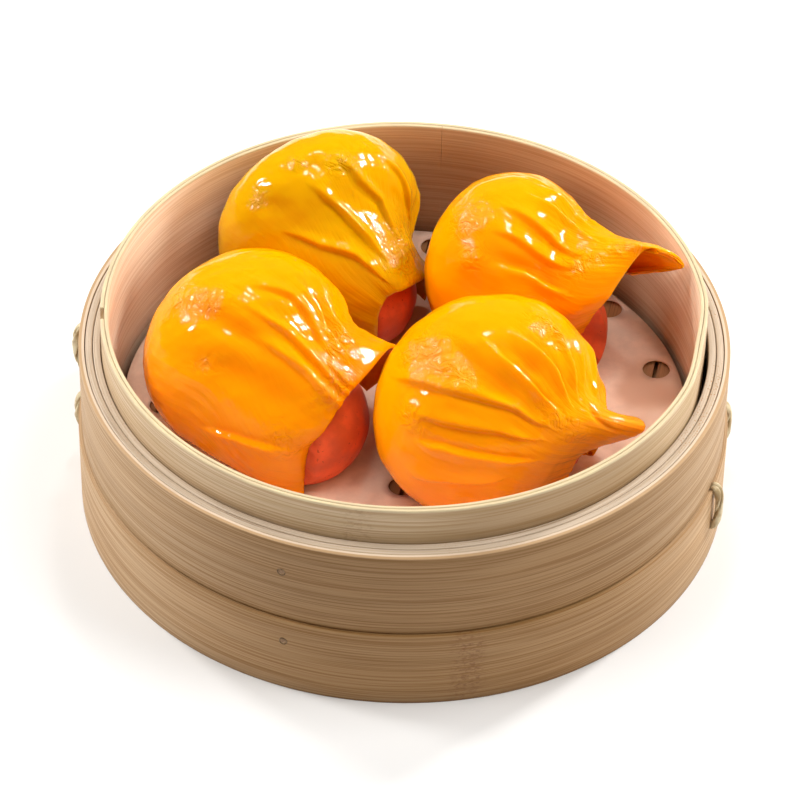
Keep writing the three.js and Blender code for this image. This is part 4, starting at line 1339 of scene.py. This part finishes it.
def wrapper_mesh(dumpling, settings, seed):
    """Points, faces and the numbers that the finish reads, of one wrapper."""
    out = HoodGrid(0, *HOOD_GRID)
    inside = HoodGrid(out.count, *LINING_GRID)
    base, normal = hood_surface(dumpling, out.s, out.t)
    relief, sunk, pucker = wrapper_relief(dumpling, out.s, out.t, base, settings, seed)
    relief -= rounded_edge(dumpling, out.s, out.t)
    points = place_in_basket(dumpling, base + normal * relief[:, None], 0.0)
    base_in, normal_in = hood_surface(dumpling, inside.s, inside.t)
    depth_in = skin_at(inside.t) - rounded_edge(dumpling, inside.s, inside.t)
    inner = place_in_basket(dumpling, base_in - normal_in * depth_in[:, None], FLOOR_SKIN)
    faces = out.faces(True) + inside.faces(False)
    faces += [tuple(reversed(face)) for face in zip_rows(inside.border(), out.border())]
    flow = [grid.s * girth_at(dumpling, grid.t) / FLOW_UNIT for grid in (out, inside)]
    numbers = {
        # the lining has no grooves; its 0.6 gives it painted shade
        "groove": np.concatenate([sunk, np.full(inside.count, 0.6)]),
        "pucker": np.concatenate([pucker, np.zeros(inside.count)]),
        "flow": np.concatenate(flow),
        "along": np.concatenate([out.t, inside.t]),
    }
    return np.concatenate([points, inner]), faces, numbers


def wrapper_finish(name, colour, deep):
    """Wet steamed dough: yellow on the crowns, and deeper orange as painted shade in the grooves
    and low down.
    """
    finish = Finish(name)
    place = finish.place()
    groove, pucker, flow, along = (finish.attribute(number) for number in
                                   ("groove", "pucker", "flow", "along"))

    def drawn_out(across, ahead):
        """Noise drawn out along the folds."""
        vector = finish.vector(finish.times(flow, across), finish.times(along, ahead), 0.0)
        return finish.noise(vector, 1.0, 2.0, 0.5)

    # painted shade: the deep colour is mixed in low down and in the grooves, a little less on
    # puckers and near the lip
    low = finish.span(finish.parts(place)[2], (FLOOR_HEIGHT + 40.0) * MM, (FLOOR_HEIGHT + 4.0) * MM)
    share = finish.math("MULTIPLY_ADD", low, 0.5, finish.times(groove, 0.55))
    for number, weight in ((finish.noise(place, 48.0, 2.0, 0.5), 0.8), (pucker, -0.12),
                           (finish.span(along, 0.75, 1.0), -0.3)):
        share = finish.math("MULTIPLY_ADD", number, weight, share)
    share = finish.math("ADD", share, finish.math("MULTIPLY_ADD", drawn_out(2.4, 5.0), 0.3, -0.55),
                        clamp=True)
    tone = finish.mix(share, colour, deep)
    lines = finish.times(drawn_out(6.0, 9.0), finish.span(along, 0.25, 0.8, 0.1, 0.75))
    crinkle = finish.noise(place, 270.0, 2.0, 0.5, 1.8)
    grain = finish.times(crinkle, finish.times(pucker, 3.4))
    normal = finish.bump(finish.math("MULTIPLY_ADD", lines, 0.7, grain), 0.9, 0.5)
    return finish.shade(
        Base_Color=tone, Roughness=0.5, Normal=normal, Specular_IOR_Level=0.0,
        Subsurface_Weight=0.4, Subsurface_Radius=(1.0, 0.4, 0.02), Subsurface_Scale=3.0 * MM,
        Coat_Weight=0.85, Coat_Roughness=0.055, Coat_IOR=1.4, Coat_Normal=normal)


class MESH_OT_steamer_wrappers(Operator):
    """Build the four pleated wrappers"""

    bl_idname = "mesh.steamer_wrappers"
    bl_label = "Wrappers"
    bl_options = {"REGISTER", "UNDO"}

    def execute(self, context):
        settings = context.scene.steamer_dumplings
        ripe = wrapper_finish("wrapper_dough", tuple(settings.wrapper_colour),
                              tuple(settings.wrapper_shade_colour))
        duller = wrapper_finish("wrapper_dough_back", *BACK_DOUGH)
        for index, dumpling in enumerate(DUMPLINGS):
            points, faces, numbers = wrapper_mesh(dumpling, settings, 100 * (index + 1))
            material = duller if index == 3 else ripe
            piece = mesh_piece(f"wrapper_{index + 1}", points, faces, material,
                               f"dumpling_{index + 1}_wrapper")
            for name, values in numbers.items():
                number_attribute(piece, name, values)
        return {"FINISHED"}


def reach_of(form, centre, ways):
    """Distance from centre to an ellipsoid's surface along each way."""
    scale = 1.0 / np.array([form["length"], form["width"], form["height"]])
    start = (centre - np.array([form["x"], form["y"], form["middle"]])) * scale
    ways = ways * scale
    a = (ways ** 2).sum(-1)
    b = ways @ start
    c = start @ start - 1.0
    return (-b + np.sqrt(b * b - a * c)) / a


def belly_mesh(dumpling, tree, seed):
    """The filling in the dome, blown out to the bulge under the lip, kept inside its wrapper."""
    dome, belly = dumpling["dome"], dumpling["belly"]
    inset = SKIN + BELLY_EASE
    filling = {"x": 0.0, "y": 0.0, "middle": dome["middle"], "length": dome["length"] - inset,
               "width": dome["width"] - inset, "height": dome["height"] - inset}
    centre = np.array([belly["x"] / 2, belly["y"] / 2, (belly["middle"] + dome["middle"]) / 2])
    heart = place_in_basket(dumpling, centre[None, :], 0.0)[0]
    around, up = BELLY_GRID
    azimuth, rise = np.meshgrid(np.arange(around) * 2 * math.pi / around,
                                np.linspace(-math.pi / 2, math.pi / 2, up + 1)[1:-1])
    azimuth = np.concatenate([[0.0], azimuth.ravel(), [0.0]])
    rise = np.concatenate([[-math.pi / 2], rise.ravel(), [math.pi / 2]])
    ways = np.stack([np.cos(rise) * np.cos(azimuth), np.cos(rise) * np.sin(azimuth),
                     np.sin(rise)], axis=-1)
    reach = np.maximum(reach_of(filling, centre, ways), reach_of(belly, centre, ways))
    form = centre + ways * reach[:, None]
    form += ways * (0.22 * ripple(form, 15.0, seed) + 0.05 * ripple(form, 4.0, seed + 1))[:, None]
    points = place_in_basket(dumpling, form, 0.0)
    for k, point in enumerate(points):
        ray = point - heart
        length = np.linalg.norm(ray)
        hit = tree.ray_cast(Vector(heart), Vector(ray / length))
        if hit[3] is not None and hit[3] - BELLY_GAP < length:
            points[k] = heart + ray * (hit[3] - BELLY_GAP) / length
    faces = []
    last = len(points) - 1
    for i in range(around):
        after = (i + 1) % around
        faces.append((0, 1 + after, 1 + i))
        top = 1 + (up - 2) * around
        faces.append((last, top + i, top + after))
        for j in range(up - 2):
            row, above = 1 + j * around, 1 + (j + 1) * around
            faces.append((row + i, row + after, above + after, above + i))
    return points, faces


def belly_finish(settings):
    """Red steamed dough: satin, with faint mottling and a few specks."""
    finish = Finish("belly_dough")
    place = finish.place()
    colour = tuple(settings.belly_colour)
    mottle = finish.noise(place, 130.0, 4.0, 0.55)
    specks = finish.noise(place, 900.0, 2.0, 0.5)
    tone = finish.mix(finish.span(mottle, 0.35, 0.7),
                      shade_of(colour, 0.82), shade_of(colour, 1.18))
    tone = finish.mix(finish.times(finish.span(specks, 0.66, 0.76), 0.5), tone, SPECK_RED)
    height = finish.math("MULTIPLY_ADD", mottle, 0.6, specks)
    return finish.shade(
        Base_Color=tone, Roughness=finish.span(mottle, 0.3, 0.7, 0.4, 0.55),
        Normal=finish.bump(height, 0.35, 0.12), Specular_IOR_Level=0.4,
        Subsurface_Weight=0.2, Subsurface_Radius=(1.0, 0.3, 0.1), Subsurface_Scale=1.6 * MM)


class MESH_OT_steamer_bellies(Operator):
    """Build the four red bellies inside the wrappers"""

    bl_idname = "mesh.steamer_bellies"
    bl_label = "Bellies"
    bl_options = {"REGISTER", "UNDO"}

    def execute(self, context):
        material = belly_finish(context.scene.steamer_dumplings)
        for index, dumpling in enumerate(DUMPLINGS):
            wrapper = bpy.data.objects[f"wrapper_{index + 1}"].data
            corners = [vertex.co / MM for vertex in wrapper.vertices]
            sides = [tuple(face.vertices) for face in wrapper.polygons]
            tree = BVHTree.FromPolygons(corners, sides)
            points, faces = belly_mesh(dumpling, tree, 700 + index)
            mesh_piece(f"belly_{index + 1}", points, faces, material,
                       f"dumpling_{index + 1}_belly")
        return {"FINISHED"}


# ---- stage --------------------------------------------------------------------------------------


class SCENE_OT_steamer_stage(Operator):
    """Set up the floor, the lamps and the camera"""

    bl_idname = "scene.steamer_stage"
    bl_label = "Stage"
    bl_options = {"REGISTER", "UNDO"}

    FLOOR_STEPS = 96
    FLOOR_RADIUS = 3.0  # in metres, as the drop
    FLOOR_DROP = 0.00005
    LAMPS = [
        # name, azimuth and elevation in degrees, distance m, size m, watts, colour, glints
        ("right_window", 38.0, 33.0, 1.0, 0.12, 6.8, DAYLIGHT, True),
        ("right_side", -16.0, 24.0, 1.0, 0.5, 5.6, DAYLIGHT, False),
        ("left_window", 165.0, 42.0, 1.0, 0.13, 3.6, DAYLIGHT, True),
        ("left_side", 200.0, 22.0, 1.0, 0.5, 3.4, DAYLIGHT, False),
        ("left_back", 140.0, 31.0, 1.0, 0.15, 4.2, DAYLIGHT, True),
        ("crown", 85.0, 64.0, 1.0, 0.1, 1.2, DAYLIGHT, True),
        ("top_right", 0.0, 68.0, 1.0, 0.4, 3.4, DAYLIGHT, False),
        ("top_left", 200.0, 74.0, 1.0, 0.4, 2.4, DAYLIGHT, False),
        ("front_fill", 262.0, 55.0, 1.2, 0.6, 0.6, LAMPLIGHT, False),
    ]

    def execute(self, context):
        settings = context.scene.steamer_stage
        self.floor(settings)
        for lamp in self.LAMPS:
            self.lamp(context, settings, *lamp)
        self.room(context, settings)
        self.camera(context)
        context.scene.view_settings.view_transform = "Standard"
        context.scene.view_settings.look = "None"
        return {"FINISHED"}

    def floor(self, settings):
        """A wide plain disc, a hair under the basket."""
        ring = [(x, y, -self.FLOOR_DROP) for x, y in circle(self.FLOOR_STEPS, self.FLOOR_RADIUS)]
        mesh = bpy.data.meshes.new("stage_floor")
        mesh.from_pydata(ring, [], [tuple(range(self.FLOOR_STEPS))])
        finish = Finish("stage_floor")
        cloud = finish.noise(finish.place(), 3.0, 2.0)
        colour = tuple(settings.floor_colour)
        tone = finish.mix(finish.span(cloud, 0.3, 0.7), shade_of(colour, 0.995), colour)
        mesh.materials.append(finish.shade(Base_Color=tone, Roughness=0.9, Specular_IOR_Level=0.1))
        floor = bpy.data.objects.new("stage_floor", mesh)
        bpy.context.scene.collection.objects.link(floor)

    def lamp(self, context, settings, name, azimuth, elevation, distance, size, watts,
             colour, glints):
        data = bpy.data.lights.new(name, "AREA")
        data.shape = "SQUARE"
        data.size = size
        data.energy = watts * settings.light_scale
        data.color = colour
        lamp = bpy.data.objects.new(name, data)
        lamp.visible_glossy = glints
        turn, rise = math.radians(azimuth), math.radians(elevation)
        direction = Vector((math.cos(turn) * math.cos(rise), math.sin(turn) * math.cos(rise),
                            math.sin(rise)))
        lamp.location = direction * distance + Vector((0.0, 0.0, FLOOR_HEIGHT * MM))
        lamp.rotation_mode = "QUATERNION"
        lamp.rotation_quaternion = (-direction).to_track_quat("-Z", "Y")
        context.scene.collection.objects.link(lamp)

    def room(self, context, settings):
        world = bpy.data.worlds.new("room")
        world.use_nodes = True
        background = world.node_tree.nodes["Background"]
        background.inputs["Color"].default_value = (1.0, 1.0, 1.0, 1.0)
        background.inputs["Strength"].default_value = settings.room_strength
        context.scene.world = world

    def camera(self, context):
        data = bpy.data.cameras.new("photo_camera")
        data.sensor_fit = "HORIZONTAL"
        data.sensor_width = CAMERA["sensor"]
        data.lens = CAMERA["lens"]
        data.shift_x, data.shift_y = CAMERA["shift_x"], CAMERA["shift_y"]
        data.clip_start, data.clip_end = 0.05, 20.0
        camera = bpy.data.objects.new("photo_camera", data)
        rise = math.radians(CAMERA["elevation"])
        ahead = Vector((0.0, math.cos(rise), -math.sin(rise)))
        level = Vector((1.0, 0.0, 0.0))
        upright = level.cross(ahead)
        roll = math.radians(CAMERA["roll"])
        right = math.cos(roll) * level + math.sin(roll) * upright
        up = -math.sin(roll) * level + math.cos(roll) * upright
        turn = Matrix((right, up, -ahead)).transposed()
        target = Vector((0.0, 0.0, CAMERA["target_height"] * MM))
        spot = target - ahead * CAMERA["distance"] * MM
        camera.matrix_world = Matrix.Translation(spot) @ turn.to_4x4()
        context.scene.collection.objects.link(camera)
        context.scene.camera = camera


# ---- panel and registration ---------------------------------------------------------------------

PIECES = (
    "mesh.steamer_bands", "mesh.steamer_fillers", "mesh.steamer_hoops", "mesh.steamer_floor",
    "mesh.steamer_liner", "mesh.steamer_pegs", "mesh.steamer_stitches", "mesh.steamer_wrappers",
    "mesh.steamer_bellies", "scene.steamer_stage",
)


class VIEW3D_PT_steamer(Panel):
    """Lists the steamer's pieces and their settings"""

    bl_label = "Steamer"
    bl_idname = "VIEW3D_PT_steamer"
    bl_space_type = "VIEW_3D"
    bl_region_type = "UI"
    bl_category = "Steamer"

    def draw(self, context):
        scene = context.scene
        for title, group in (("Basket", scene.steamer_basket),
                             ("Dumplings", scene.steamer_dumplings),
                             ("Stage", scene.steamer_stage)):
            box = self.layout.box()
            box.label(text=title)
            for name in group.__annotations__:
                box.prop(group, name)
        for piece in PIECES:
            self.layout.operator(piece)


CLASSES = (
    SteamerBasketSettings, SteamerDumplingSettings, SteamerStageSettings, MESH_OT_steamer_bands,
    MESH_OT_steamer_fillers, MESH_OT_steamer_hoops, MESH_OT_steamer_floor, MESH_OT_steamer_liner,
    MESH_OT_steamer_pegs, MESH_OT_steamer_stitches, MESH_OT_steamer_wrappers,
    MESH_OT_steamer_bellies, SCENE_OT_steamer_stage, VIEW3D_PT_steamer,
)


def register():
    for item in CLASSES:
        bpy.utils.register_class(item)
    bpy.types.Scene.steamer_basket = PointerProperty(type=SteamerBasketSettings)
    bpy.types.Scene.steamer_dumplings = PointerProperty(type=SteamerDumplingSettings)
    bpy.types.Scene.steamer_stage = PointerProperty(type=SteamerStageSettings)


def unregister():
    del bpy.types.Scene.steamer_stage
    del bpy.types.Scene.steamer_dumplings
    del bpy.types.Scene.steamer_basket
    for item in reversed(CLASSES):
        bpy.utils.unregister_class(item)


def main():
    register()
    for piece in PIECES:
        group, name = piece.split(".")
        result = getattr(getattr(bpy.ops, group), name)()
        if result != {"FINISHED"}:
            raise RuntimeError(f"{piece} didn't finish: {result}")


if __name__ == "__main__":
    main()
